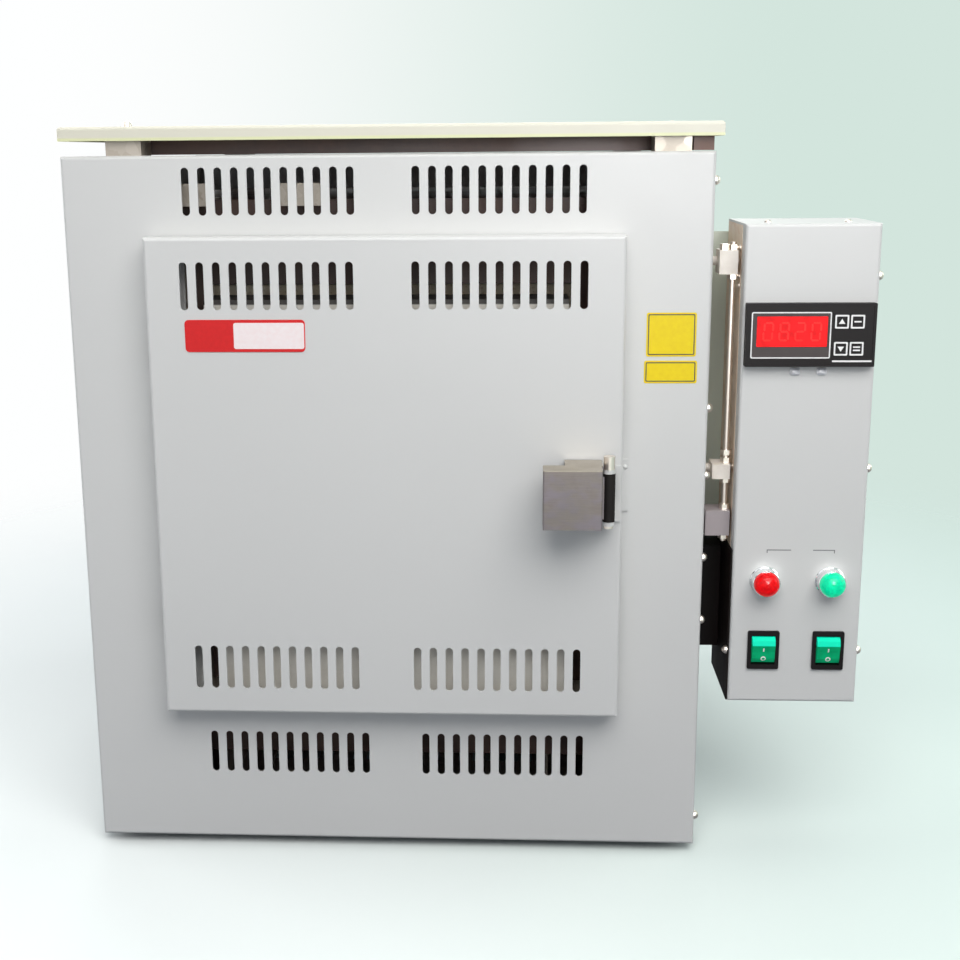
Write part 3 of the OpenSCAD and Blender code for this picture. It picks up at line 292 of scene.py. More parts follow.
inner_box_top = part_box("door_inner_box")[1].z
painted_slot_shade = beige_sheet.axis("Z").between(inner_box_top - SHADE_END, inner_box_top - SHADE_FULL)
# Painted shade: a near-black laid over the pale coat at the top of the inner box.
beige_sheet.cover(painted_slot_shade * 0.95, linear(26, 18, 16))

# %% [markdown]
# ## Bare metal
# Galvanised sheet shows zinc crystals, called spangle: flat patches about a centimetre across, each
# with its own grey and its own gloss. A Voronoi pattern gives exactly that, because each cell has one
# random colour. Turned and plated parts are brighter, and fine marks cover them evenly.

# %% Zinc sheet with its spangle
SPANGLE_SCALE = 95.0
SPANGLE_WOBBLE = 0.006


def spangled(name, dull, bright, metal):
    finish = Finish(name, metallic=metal, roughness=0.4)
    ripple = {"Vector": finish.coords(), "Scale": 120.0, "Detail": 2.0}
    wobble = finish.add("ShaderNodeTexNoise", ripple)["Color"]
    shift = {0: wobble, 1: (SPANGLE_WOBBLE,) * 3, 2: finish.coords()}
    moved = finish.add("ShaderNodeVectorMath", shift, operation="MULTIPLY_ADD")[0]
    cells = finish.add("ShaderNodeTexVoronoi", {"Vector": moved, "Scale": SPANGLE_SCALE})
    tone = finish.add("ShaderNodeSeparateColor", {0: cells["Color"]})
    finish.colour(finish.mix(tone[0], dull, bright))
    finish.rough(tone[1] * 0.2 + 0.34)
    finish.bump(tone[2] * 0.4 + finish.noise(900.0), 0.08, 0.1)
    return finish


zinc_sheet = spangled("galvanised_sheet", linear(166, 156, 144), linear(184, 175, 164), 0.3)
# The spangle is its own, but the light warm beige is painted reflection and painted light: it stands in for
# warm reflections and lifts the control box's wall out of the gap's shade.
warm_sheet = spangled("control_box_sheet", linear(232, 206, 182), linear(242, 222, 202), 0.15)

# %% Plated and oxidised parts
def plated(name, tint, gloss):
    finish = Finish(name, metallic=1.0, roughness=gloss)
    marks = finish.noise(700.0, 3.0, 0.7)
    finish.colour(finish.mix(marks, tint, shaded(tint, 0.9)))
    finish.rough(marks * 0.1 + (gloss - 0.04))
    finish.bump(marks, 0.04, 0.02)
    return finish


zinc_parts = plated("bright_zinc", linear(232, 222, 212), 0.3)
chrome = plated("lamp_ring_chrome", linear(235, 236, 238), 0.1)
wire_metal = plated("oxidised_wire", linear(104, 98, 94), 0.5)

# %% [markdown]
# The grip is cut from a metal block and brushed crosswise. Brushing is a noise that is stretched
# along one direction: here along X, so the lines run from side to side. Old heat has left bluish and
# brownish patches and hands have smudged it. Its upper faces are painted a lighter beige than its
# front: a painted highlight where they catch the light from above.

# %% Brushed grip
TOP_HIGHLIGHT_FULL, TOP_HIGHLIGHT_END = 0.0003, 0.0008

grip_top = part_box("latch_handle")[1].z
grip_metal = Finish("brushed_grip", metallic=0.7, roughness=0.42)
lines = grip_metal.noise(60.0, 4.0, 0.7, (1, 8, 26))
smudge = grip_metal.noise(55.0, 3.0).between(0.35, 0.7)
patches = grip_metal.noise(34.0, 4.0, 0.65, (1, 1, 1.6)).between(0.42, 0.6)
brushed = grip_metal.mix(lines * 0.7 + smudge * 0.3, linear(138, 130, 125), linear(92, 84, 82))
stained = grip_metal.mix(patches * 0.55, brushed, linear(120, 113, 124))
# Painted highlight: a lighter beige on the upper faces, where light from above falls.
painted_top_highlight = grip_metal.axis("Z").between(grip_top - TOP_HIGHLIGHT_END, grip_top - TOP_HIGHLIGHT_FULL)
grip_metal.colour(grip_metal.mix(painted_top_highlight * 0.7, stained, linear(178, 168, 150)))
grip_metal.rough(lines * 0.2 + smudge * 0.12 + 0.26)
grip_metal.bump(lines + patches * 0.6, 0.3, 0.1)

# %% [markdown]
# ## Plastics and rubber
# Moulded parts take the grain of their mould. Black housings have a fine grain, the keys a softer
# one, and the rubber feet and the sleeve are rougher and duller still.

# %% Moulded and rubber finishes
def moulded(name, tint, gloss, grain, depth_mm=0.06, strength=0.25, **plain):
    finish = Finish(name, roughness=gloss, **plain)
    fine = finish.noise(grain)
    finish.colour(finish.mix(fine * 0.6, tint, shaded(tint, 1.35, 0.004)))
    finish.rough(finish.noise(40.0) * 0.14 + (gloss - 0.07))
    finish.bump(fine, strength, depth_mm)
    return finish


black_plastic = moulded("housing_black", linear(15, 9, 11), 0.45, 2200.0, specular_ior_level=0.15)
key_plastic = moulded("key_black", linear(18, 12, 14), 0.5, 1500.0, specular_ior_level=0.15)
rubber = moulded("black_rubber", linear(16, 10, 9), 0.72, 900.0, 0.12, 0.5, specular_ior_level=0.2)

# %% [markdown]
# ## Lamps, rockers and the display
# Each coloured lens and rocker gets a weak emission of its own colour, a painted glow, as no lamp
# lies behind it in the scene. Its skin reflects little, or the lamps of the scene would bleach it.
# The display's emission is uneven, as it is where a bright readout shines through a red filter.

# %% Clear coloured plastic
def clear_plastic(name, tint, glow, gloss, ripple=90.0, shine=0.1):
    # The emission is a painted glow on the lenses and rockers and the readout's own light on the display.
    finish = Finish(name, roughness=gloss, specular_ior_level=shine, emission_strength=glow)
    depth = finish.noise(ripple).between(0.25, 0.75)
    deep = shaded(tint, 0.7)
    finish.colour(finish.mix(depth, deep, tint))
    finish.feed(finish.shader.inputs["Emission Color"], finish.mix(depth, deep, tint))
    return finish


red_lens = clear_plastic("lamp_red_lens", linear(218, 0, 10), 0.5, 0.2, 300.0, 0.22)
green_lens = clear_plastic("lamp_green_lens", linear(0, 220, 160), 0.55, 0.2, 300.0, 0.22)
rocker_green = clear_plastic("rocker_green", linear(0, 154, 100), 0.34, 0.3, shine=0.12)
display_red = clear_plastic("display_red", linear(232, 26, 30), 0.6, 0.35, 120.0)

# %% [markdown]
# Light gathers in the upper edge of each green rocker and turns it to a lighter, bluer green, so above
# a certain height the colour changes to a brighter one. The step is a mask along Z again.

# %% Bright upper edge of the rockers
BRIGHT_FROM = 0.7
EDGE_BLUR = 0.0004

rocker_low, rocker_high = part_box("rocker_left")
lit_from = rocker_low.z + (rocker_high.z - rocker_low.z) * BRIGHT_FROM
lit_edge = rocker_green.axis("Z").between(lit_from - EDGE_BLUR, lit_from + EDGE_BLUR)
rocker_green.cover(lit_edge, linear(0, 214, 172), ("Base Color", "Emission Color"))
print("plastic finishes made")

# %% [markdown]
# ## Ceramics
# The chamber is built of light refractory slabs full of tiny pores, which a Voronoi distance turned
# into pits shows well. Fibre board is softer and streaky. The hearth plate is denser and stained by
# use.

# %% Refractory finishes
def porous(name, tint, stain, pore, depth_mm, gloss=0.9):
    finish = Finish(name, roughness=gloss)
    cells = finish.add("ShaderNodeTexVoronoi", {"Vector": finish.coords(), "Scale": pore})["Distance"]
    pits = cells.between(0.12, 0.34)
    clouds = finish.noise(18.0, 4.0, 0.6).between(0.4, 0.72)
    finish.colour(finish.mix(clouds * 0.6 + (1 - pits) * 0.5, tint, stain))
    finish.bump(pits + finish.noise(500.0, 3.0) * 0.5, 0.5, depth_mm)
    return finish


brick = porous("refractory_slab", linear(232, 220, 196), linear(190, 164, 128), 420.0, 0.6)
hearth = porous("hearth_plate", linear(214, 188, 154), linear(150, 112, 82), 700.0, 0.3, 0.8)
steatite = porous("bush_ceramic", linear(240, 236, 226), linear(214, 206, 190), 1500.0, 0.1, 0.5)

fibre = Finish("fibre_board", roughness=0.95)
strands = fibre.noise(240.0, 5.0, 0.7, (1, 1, 3))
fibre.colour(fibre.mix(strands, linear(244, 240, 230), linear(222, 214, 196)))
fibre.bump(strands, 0.5, 0.5)

# %% [markdown]
# ## Dressing the CAD pieces
# Each CAD piece names a material slot in its record. Looking the finish up by that name means that a
# new piece in the model is dressed without a change here.

# %% One finish for each slot
FINISHES = {
    "grey_paint": grey_paint, "lid_paint": lid_paint, "mount_paint": mount_paint,
    "bracket_paint": bracket_paint, "dark_paint": dark_paint, "beige_sheet": beige_sheet,
    "black_sheet": black_sheet, "zinc_sheet": zinc_sheet, "warm_sheet": warm_sheet,
    "zinc_parts": zinc_parts, "lamp_chrome": chrome, "wire": wire_metal, "handle_metal": grip_metal,
    "black_plastic": black_plastic, "key_plastic": key_plastic, "black_rubber": rubber,
    "window": display_red, "lamp_red": red_lens, "lamp_green": green_lens, "rocker_green": rocker_green,
    "fibre": fibre, "brick": brick, "hearth": hearth, "bush": steatite}

for part in frame["record"]["subparts"]:
    mesh = kiln[part["node"]].data
    mesh.materials.clear()
    mesh.materials.append(FINISHES[part["material_slot"]].material)

# %% [markdown]
# ## Thin plates and printed lines
# Plates, printed frames and marks are flat shapes a few tenths of a millimetre thick. Each stands on
# a face and reaches a hair into it, so that no gap shows. One helper makes them all from an outline
# seen from the front and, for a ring, a hole with the same number of corners.

# %% Outlines
def rounded(x, z, width, height, radius, steps=5):
    """A rectangle with round corners, given by its middle and its size."""
    corners = ((1, 1, 0), (-1, 1, 90), (-1, -1, 180), (1, -1, 270))
    points = []
    for side_x, side_z, start in corners:
        corner_x = x + side_x * (width / 2 - radius)
        corner_z = z + side_z * (height / 2 - radius)
        for i in range(steps + 1):
            turn = math.radians(start + 90 * i / steps)
            points.append((corner_x + radius * math.cos(turn), corner_z + radius * math.sin(turn)))
    return points


def rectangle(left, bottom, right, top):
    return [(left, bottom), (right, bottom), (right, top), (left, top)]


def circle(radius, z, sides=24):
    turns = [2 * math.pi * i / sides for i in range(sides)]
    return [(radius * math.cos(turn), z + radius * math.sin(turn)) for turn in turns]


# %% From an outline to a piece
SUNK = 0.02
FILM_SUNK = 0.01


def bridge(build, first, second):
    """A band of faces between two closed loops with the same number of corners."""
    for i in range(len(first)):
        j = (i + 1) % len(first)
        build.faces.new((first[i], second[i], second[j], first[j]))


def add_flat(build, outline, face, height, hole=None, sunk=SUNK, place=spot):
    """A flat shape that stands on the face at y = face, in millimetres."""
    loops = [[build.verts.new(place(x, y, z)) for x, z in line]
             for line in (outline, hole) if line for y in (face - height, face + sunk)]
    if hole:
        outer_front, outer_back, inner_front, inner_back = loops
        bridge(build, outer_front, inner_front)
        bridge(build, inner_front, inner_back)
        bridge(build, inner_back, outer_back)
        bridge(build, outer_back, outer_front)
    else:
        front, back = loops
        build.faces.new(front)
        build.faces.new(list(reversed(back)))
        bridge(build, front, back)


def ended(name, build):
    """The mesh that a bmesh holds, with its faces turned outwards."""
    build.normal_update()
    bmesh.ops.recalc_face_normals(build, faces=build.faces)
    mesh = bpy.data.meshes.new(name)
    build.to_mesh(mesh)
    build.free()
    return mesh


def put_in_scene(name, data):
    thing = bpy.data.objects.new(name, data)
    bpy.context.scene.collection.objects.link(thing)
    return thing


def finished(name, build, finish, body, smooth=False):
    mesh = ended(name, build)
    mesh.materials.append(finish.material)
    if smooth:
        mesh.shade_smooth()
    piece = put_in_scene(name, mesh)
    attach(piece, body)


def plate(name, outline, face, height, finish, body, hole=None, sunk=SUNK):
    build = bmesh.new()
    add_flat(build, outline, face, height, hole, sunk)
    finished(name, build, finish, body)


# %% [markdown]
# The door carries an enamelled plate and the casing two yellow ones. They are left bare: a red field,
# a pale field and a border are all that they hold. The border is a ring laid on the plate.

# %% Enamel, vinyl and ink
enamel_red = moulded("plate_red_enamel", linear(208, 26, 28), 0.3, 300.0, 0.02, 0.1, specular_ior_level=0.3)
enamel_pale = moulded("plate_pale_enamel", linear(247, 226, 225), 0.3, 300.0, 0.02, 0.1)
vinyl_yellow = moulded("vinyl_yellow", linear(236, 204, 0), 0.4, 300.0, 0.02, 0.1, specular_ior_level=0.2)
ink_black = moulded("ink_black", linear(28, 26, 24), 0.5, 600.0, 0.01, 0.1)
ink_white = moulded("ink_white", linear(236, 234, 232), 0.5, 600.0, 0.01, 0.1)
ink_grey = moulded("ink_grey", linear(96, 96, 98), 0.5, 600.0, 0.01, 0.1)

# %% Bare plates, each with the x and z of its middle, its width and its height
DOOR_PLATE = (-104.7, 421.6, 91.0, 24.2)
PALE_FIELD = (-86.6, 421.6, 53.2, 19.6)
YELLOW_PLATES = ((215.6, 419.0, 37.5, 33.3), (215.6, 390.6, 39.9, 17.3))
ENAMEL_THICK, FIELD_THICK, VINYL_THICK, BORDER_THICK = 0.5, 0.12, 0.25, 0.06
BORDER_INSET, BORDER_WIDTH = 1.2, 0.8


def inset(middle_x, middle_z, width, height, margin, radius):
    return rounded(middle_x, middle_z, width - 2 * margin, height - 2 * margin, radius)


door_face = front_mm("door_cover")
plate("door_plate", rounded(*DOOR_PLATE, 3), door_face, ENAMEL_THICK, enamel_red, "door")
field_face = door_face - ENAMEL_THICK
plate("door_plate_field", rounded(*PALE_FIELD, 1.6), field_face, FIELD_THICK, enamel_pale, "door")
for index, size in enumerate(YELLOW_PLATES):
    plate(f"yellow_plate_{index}", rounded(*size, 1.5), 0, VINYL_THICK, vinyl_yellow, "kiln", sunk=FILM_SUNK)
    plate(f"yellow_plate_border_{index}", inset(*size, BORDER_INSET, 1.0), -VINYL_THICK, BORDER_THICK,
          ink_black, "kiln", hole=inset(*size, BORDER_INSET + BORDER_WIDTH, 0.6), sunk=FILM_SUNK)
print("plates made, door face at", round(door_face, 2), "mm")

# %% [markdown]
# ## The controller's face
# A thin white line frames the display, dark glass fills the space between that line and the red
# window, and each key carries a white outline with a plain mark. The readout is a row of seven-bar
# digits, a little brighter than the window behind them.

# %% Where the controller's parts are
BEZEL_RIM = 0.6

face_y = front_mm("controller") + BEZEL_RIM
window_y = front_mm("controller_window")
window_x, _, window_z = middle_mm("controller_window")
bezel_x, _, bezel_z = middle_mm("controller")
print("bezel middle", round(bezel_x, 1), round(bezel_z, 1),
      "window middle", round(window_x, 1), round(window_z, 1))

# %% Frame, glass and line
FRAME_SIZE, FRAME_HOLE = (59.0, 34.8), (57.2, 33.0)
GLASS_SIZE, GLASS_HOLE = (57.0, 32.8), (52.6, 23.2)
BEZEL_LINE_SIZE = (29.4, 1.3)
FRAME_THICK, GLASS_THICK, BEZEL_LINE_THICK = 0.14, 0.08, 0.12

frame_x, frame_z = bezel_x - 14.5, bezel_z - 0.1
bezel_line_x, bezel_line_z = bezel_x + 31.4, bezel_z - 19.6
dark_glass = Finish("display_glass", roughness=0.08, coat_weight=0.5)
dark_glass.colour(dark_glass.mix(dark_glass.noise(60.0), linear(66, 52, 56), linear(86, 74, 74)))

plate("display_surround", rounded(frame_x, frame_z, *GLASS_SIZE, 0.6), face_y, GLASS_THICK,
      dark_glass, "kiln", hole=rounded(window_x, window_z, *GLASS_HOLE, 0.6))
plate("display_frame_line", rounded(frame_x, frame_z, *FRAME_SIZE, 1.2), face_y, FRAME_THICK,
      ink_white, "kiln", hole=rounded(frame_x, frame_z, *FRAME_HOLE, 0.6))
plate("bezel_line", rounded(bezel_line_x, bezel_line_z, *BEZEL_LINE_SIZE, 0.4), face_y, BEZEL_LINE_THICK,
      ink_white, "kiln")

# %% [markdown]
# Two small white clips hold the controller from below. Each is a rounded pad whose front edge is
# bevelled, and it covers the small screw that the model has there.

# %% White clips under the controller
CLIP_XS, CLIP_Z = (308.8, 328.7), 391.0
CLIP_WIDTH, CLIP_HEIGHT, CLIP_THICK = 7.4, 5.6, 2.2

clip_white = moulded("clip_white", linear(250, 250, 254), 0.25, 900.0, 0.03, 0.15)
for index, clip_x in enumerate(CLIP_XS):
    build = bmesh.new()
    add_flat(build, rounded(clip_x, CLIP_Z, CLIP_WIDTH, CLIP_HEIGHT, 2.0), 0, CLIP_THICK)
    bmesh.ops.recalc_face_normals(build, faces=build.faces)
    rims = [edge for edge in build.edges if all(v.co.y < ZERO.y - 0.001 for v in edge.verts)]
    bmesh.ops.bevel(build, geom=rims, offset=0.0009, segments=3, affect="EDGES")
    finished(f"controller_clip_{index}", build, clip_white, "kiln", smooth=True)

# %% Seven-bar digits
READOUT = "0820"
BARS = {"0": "abcdef", "2": "abged", "8": "abcdefg"}
BAR_PLACES = {"a": (0, 0.5, False), "g": (0, 0, False), "d": (0, -0.5, False), "f": (-0.5, 0.25, True),
              "b": (0.5, 0.25, True), "e": (-0.5, -0.25, True), "c": (0.5, -0.25, True)}
DIGIT_WIDTH, DIGIT_HEIGHT, DIGIT_STEP = 6.4, 13.0, 11.8
FIRST_DIGIT = -17.6
BAR_WIDTH, BAR_GAP, LEAN, BAR_RISE = 1.5, 0.5, 1.2, 0.08


def bar_outline(middle_x, middle_z, length, upright):
    """A bar with a pointed tip at both ends, lying or upright."""
    tip = BAR_WIDTH / 2
    points = ((-length / 2, 0), (-length / 2 + tip, tip), (length / 2 - tip, tip), (length / 2, 0),
              (length / 2 - tip, -tip), (-length / 2 + tip, -tip))
    return [(middle_x + (z if upright else x), middle_z + (x if upright else z)) for x, z in points]


def add_digit(build, text, middle_x, middle_z):
    for letter in BARS[text]:
        part_x, part_z, upright = BAR_PLACES[letter]
        length = (DIGIT_HEIGHT / 2 if upright else DIGIT_WIDTH) - BAR_GAP
        bar_x = middle_x + part_x * DIGIT_WIDTH + part_z * LEAN
        bar_z = middle_z + part_z * DIGIT_HEIGHT
        add_flat(build, bar_outline(bar_x, bar_z, length, upright), window_y, BAR_RISE)


digit_red = clear_plastic("digit_red", linear(246, 46, 44), 0.66, 0.35)
build = bmesh.new()
for index, text in enumerate(READOUT):
    add_digit(build, text, window_x + FIRST_DIGIT + index * DIGIT_STEP, window_z)
finished("readout_digits", build, digit_red, "kiln")

# %% Key outlines and marks
KEY_LINE, KEY_HOLE, KEY_PRINT = 10.2, 7.8, 0.1
KEY_BAR_WIDTH, KEY_BAR_THICK = 5.2, 1.1


def key_marks(name, marks):
    key_x, _, key_z = middle_mm(name)
    key_y = front_mm(name)
    build = bmesh.new()
    add_flat(build, rounded(key_x, key_z, KEY_LINE, KEY_LINE, 0.8), key_y, KEY_PRINT,
             hole=rounded(key_x, key_z, KEY_HOLE, KEY_HOLE, 0.5))
    for outline in marks:
        add_flat(build, [(key_x + x, key_z + z) for x, z in outline], key_y, KEY_PRINT)
    finished(name + "_mark", build, ink_white, name)


def key_bar(z):
    half = KEY_BAR_THICK / 2
    return rectangle(-KEY_BAR_WIDTH / 2, z - half, KEY_BAR_WIDTH / 2, z + half)


key_marks("key_up", [[(-2.4, -1.6), (2.4, -1.6), (0, 2.2)]])
key_marks("key_down", [[(-2.4, 1.6), (0, -2.2), (2.4, 1.6)]])
key_marks("key_set", [key_bar(0)])
key_marks("key_back", [key_bar(1.2), key_bar(-1.2)])
print("controller face finished")

# %% [markdown]
# ## Marks on the rockers and the line over the lamps
# A rocker's face is bent, so its two marks are laid on it in the rocker's own tilted plane: a bar on
# the upper half and a ring on the lower one.

# %% I and O on each rocker
PIVOT_Y, PIVOT_Z = 0.2, 169.1
REST_TILT = math.radians(10)
FACE_REACH, SHOULDER, SHOULDER_RISE = 4.2, 5.6, 0.5
END_RUN, END_FALL = 3.8, 1.3
RING_OUTER, RING_INNER, RING_DROP, MARK_RISE = 2.1, 1.2, 5.9, 0.12


def rocker_face(up):
    """The y of a level rocker's face at a height over its pivot: it rises to a shoulder, then falls."""
    rise = SHOULDER_RISE * min(abs(up) / SHOULDER, 1.0)
    fall = END_FALL * max(0.0, abs(up) - SHOULDER) / END_RUN
    return -FACE_REACH - rise + fall


def rocker_marks(name):
    middle_x = middle_mm(name)[0]

    def on_rocker(x, lift, up):
        depth = rocker_face(up) + lift
        y = PIVOT_Y + depth * math.cos(REST_TILT) - up * math.sin(REST_TILT)
        z = PIVOT_Z + depth * math.sin(REST_TILT) + up * math.cos(REST_TILT)
        return spot(middle_x + x, y, z)

    build = bmesh.new()
    add_flat(build, rectangle(-0.5, 0.4, 0.5, 3.4), 0, MARK_RISE, place=on_rocker)
    add_flat(build, circle(RING_OUTER, -RING_DROP), 0, MARK_RISE, circle(RING_INNER, -RING_DROP),
             place=on_rocker)
    finished(name + "_marks", build, ink_white, name)


rocker_marks("rocker_left")
rocker_marks("rocker_right")

# %% [markdown]
# The printed line that joins the two lamps has a gap in its middle and a short drop at each end.

# %% Line over the lamps
LINE_LEFT, GAP_LEFT, GAP_RIGHT, LINE_RIGHT = 294.0, 312.7, 329.6, 346.4
LINE_Z, DROP_LOW = 250.45, 248.4
LINE_WIDTH, LINE_RISE = 0.7, 0.06

build = bmesh.new()
for start, end, drop in ((LINE_LEFT, GAP_LEFT, LINE_LEFT), (GAP_RIGHT, LINE_RIGHT, LINE_RIGHT - LINE_WIDTH)):
    for strip in (rectangle(start, LINE_Z, end, LINE_Z + LINE_WIDTH),
                  rectangle(drop, DROP_LOW, drop + LINE_WIDTH, LINE_Z)):
        add_flat(build, strip, 0, LINE_RISE, sunk=FILM_SUNK)
finished("lamp_line", build, ink_grey, "kiln")

# %% [markdown]
# ## Screw heads
# The model's screws are plain domes. Each is replaced by a domed head with a cross recess. One head is
# cut in Geometry Nodes with a Boolean, then set on every place in the list, turned so that it faces
# outwards and spun by a random angle with a fixed seed, as real screws stop at different angles.

# %% What both Geometry Nodes trees share
def geometry_graph(name, source, inputs, result):
    """A tree with its sockets, and the node that hands its inputs in."""
    tree = bpy.data.node_groups.new(name, "GeometryNodeTree")
    for label, kind in {source: "Geometry", **inputs, "Metal": "Material"}.items():
        tree.interface.new_socket(label, in_out="INPUT", socket_type="NodeSocket" + kind)
    tree.interface.new_socket(result, in_out="OUTPUT", socket_type="NodeSocketGeometry")
    graph = Graph(tree)
    return graph, graph.add("NodeGroupInput")


def hand_out(graph, start, made, result):
    """Makes instances real, gives them the metal and ends the tree."""
    real = graph.add("GeometryNodeRealizeInstances", {"Geometry": made})["Geometry"]
    dressed = graph.add("GeometryNodeSetMaterial", {"Geometry": real, "Material": start["Metal"]})["Geometry"]
    graph.add("NodeGroupOutput", {result: dressed})
    return graph.tree


def run_tree(name, source, tree, values, body, replaced):
    """Runs a tree on a source mesh and keeps the result as a plain mesh that rides on a body."""
    maker = put_in_scene(name + "_maker", source)
    modifier = maker.modifiers.new("tree", "NODES")
    modifier.node_group = tree
    ids = {item.name: item.identifier for item in tree.interface.items_tree if item.in_out == "INPUT"}
    for label, value in values.items():
        modifier[ids[label]] = value
    bpy.context.view_layer.update()
    ready = maker.evaluated_get(bpy.context.evaluated_depsgraph_get())
    mesh = bpy.data.meshes.new_from_object(ready)
    mesh.name = name
    bpy.data.objects.remove(maker)
    piece = put_in_scene(name, mesh)
    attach(piece, body)
    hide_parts(replaced)
    print(name, "faces:", len(mesh.polygons))


# %% The Geometry Nodes tree for screws
def screw_tree():
    inputs = {"Head": "Object", "Cross": "Object", "Seed": "Int"}
    graph, start = geometry_graph("screw_heads", "Places", inputs, "Screws")
    head = graph.add("GeometryNodeObjectInfo", {"Object": start["Head"]})["Geometry"]
    cross = graph.add("GeometryNodeObjectInfo", {"Object": start["Cross"]})["Geometry"]
    cut = graph.add("GeometryNodeMeshBoolean", {"Mesh 1": head, "Mesh 2": cross}, operation="DIFFERENCE")
    named = "GeometryNodeInputNamedAttribute"
    aim = graph.add(named, {"Name": "aim"}, data_type="FLOAT_VECTOR")["Attribute"]
    size = graph.add(named, {"Name": "size"}, data_type="FLOAT")["Attribute"]
    facing = graph.add("FunctionNodeAlignRotationToVector", {"Vector": aim}, axis="Z")["Rotation"]
    angle = graph.add("FunctionNodeRandomValue", {"Max": math.pi, "Seed": start["Seed"]}, data_type="FLOAT")
    spin = graph.add("FunctionNodeAxisAngleToRotation", {"Angle": angle["Value"]})["Rotation"]
    turned = graph.add("FunctionNodeRotateRotation", {"Rotation": facing, "Rotate By": spin},
                       rotation_space="LOCAL")["Rotation"]
    put = {"Points": start["Places"], "Instance": cut["Mesh"], "Rotation": turned, "Scale": size}
    return hand_out(graph, start, graph.add("GeometryNodeInstanceOnPoints", put)["Instances"], "Screws")


# %% One head and its cross, in metres
HEAD_WIDTH, HEAD_HEIGHT, HEAD_SKIRT = 0.007, 0.0043, 0.0016
CROSS_WIDTH, CROSS_THICK, CROSS_TOP, CROSS_BOTTOM = 0.0038, 0.0009, 0.0053, 0.0027
CROSS_TAPER = 0.7


def domed_head(sides=28, rings=6):
    """A dome on a short straight skirt, standing on z = 0."""
    build = bmesh.new()
    radius, rise = HEAD_WIDTH / 2, HEAD_HEIGHT - HEAD_SKIRT
    ball = (radius * radius + rise * rise) / (2 * rise)
    turns = [2 * math.pi * i / sides for i in range(sides)]
    levels = [[build.verts.new((0, 0, HEAD_HEIGHT))]]
    for ring in range(1, rings + 1):
        r = radius * ring / rings
        z = HEAD_SKIRT + math.sqrt(ball * ball - r * r) - (ball - rise)
        levels.append([build.verts.new((r * math.cos(turn), r * math.sin(turn), z)) for turn in turns])
    levels.append([build.verts.new((vert.co.x, vert.co.y, 0)) for vert in levels[-1]])
    for i in range(sides):
        j = (i + 1) % sides
        build.faces.new((levels[0][0], levels[1][i], levels[1][j]))
        for upper, lower in zip(levels[1:], levels[2:]):
            build.faces.new((upper[i], lower[i], lower[j], upper[j]))
    build.faces.new(list(reversed(levels[-1])))
    return build


def cross_cutter():
    """A plus sign that narrows downwards."""
    build = bmesh.new()
    t, w = CROSS_THICK / 2, CROSS_WIDTH / 2
    outline = [(t, t), (t, w), (-t, w)]
    for _ in range(3):
        outline += [(-y, x) for x, y in outline[-3:]]
    upper = [build.verts.new((x, y, CROSS_TOP)) for x, y in outline]
    lower = [build.verts.new((x * CROSS_TAPER, y * CROSS_TAPER, CROSS_BOTTOM)) for x, y in outline]
    build.faces.new(upper)
    build.faces.new(list(reversed(lower)))
    bridge(build, upper, lower)
    return build


head = put_in_scene("screw_head_model", ended("screw_head_model", domed_head()))
cross = put_in_scene("screw_cross_model", ended("screw_cross_model", cross_cutter()))

# %% Find every screw in the model
CASING_MIDDLE = spot(0, 240.0, 277.0)
BOX_GAP = 0.012
EVEN_SIDES, TALL = 0.0005, 0.008


def loose_parts(mesh):
    """The lowest and highest corner of each separate solid in a mesh."""
    build = bmesh.new()
    build.from_mesh(mesh)
    bmesh.ops.remove_doubles(build, verts=build.verts, dist=1e-6)
    seen, parts = set(), []
    for first in build.verts:
        if first.index in seen:
            continue
        stack, found = [first], []
        seen.add(first.index)
        while stack:
            vert = stack.pop()
            found.append(vert.co.copy())
            for edge in vert.link_edges:
                other = edge.other_vert(vert)
                if other.index not in seen:
                    seen.add(other.index)
                    stack.append(other)
        parts.append([Vector([pick(co[i] for co in found) for i in range(3)]) for pick in (min, max)])
    build.free()
    return parts


def heading(low, high, hub):
    """Which way a screw points: along its shortest side, away from the hub. Where the sides are even
    or the screw is tall, it points along Z."""
    span = high - low
    flat = min(range(3), key=lambda i: span[i])
    if max(span) - min(span) < EVEN_SIDES or span.z > TALL:
        flat = 2
    sign = 1 if (low + high)[flat] / 2 > hub[flat] else -1
    aim = Vector((0, 0, 0))
    aim[flat] = sign
    return flat, sign, aim


def screw_places(name, parts):
    """A mesh with one point under each head, its direction and its size. Both attributes are made
    before either is filled, because making the second one moves the first in memory."""
    places, aims, sizes = [], [], []
    box_low, box_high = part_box("box_cover")
    for low, high in parts:
        middle = (low + high) / 2
        on_box = middle.x > casing_high.x + BOX_GAP
        flat, sign, aim = heading(low, high, (box_low + box_high) / 2 if on_box else CASING_MIDDLE)
        size = sorted(high - low)[1] / HEAD_WIDTH
        place = middle.copy()
        place[flat] = high[flat] if sign > 0 else low[flat]
        places.append(place - aim * HEAD_HEIGHT * size)
        aims.append(aim)
        sizes.append(size)
    mesh = bpy.data.meshes.new(name)
    mesh.from_pydata(places, [], [])
    mesh.attributes.new("aim", "FLOAT_VECTOR", "POINT")
    mesh.attributes.new("size", "FLOAT", "POINT")
    for i, (aim, size) in enumerate(zip(aims, sizes)):
        mesh.attributes["aim"].data[i].vector = aim
        mesh.attributes["size"].data[i].value = size
    return mesh


# %% Put a head on each
screws = screw_tree()
for name in ("casing_screws", "box_screws"):
    parts = loose_parts(kiln[name].data)
    places = screw_places(name + "_places", parts)
    values = {"Head": head, "Cross": cross, "Metal": zinc_parts.material, "Seed": 4}
    run_tree(name + "_heads", places, screws, values, "kiln", name)
    print(name, "screws:", len(parts))
for thing in (head, cross):
    bpy.data.objects.remove(thing)

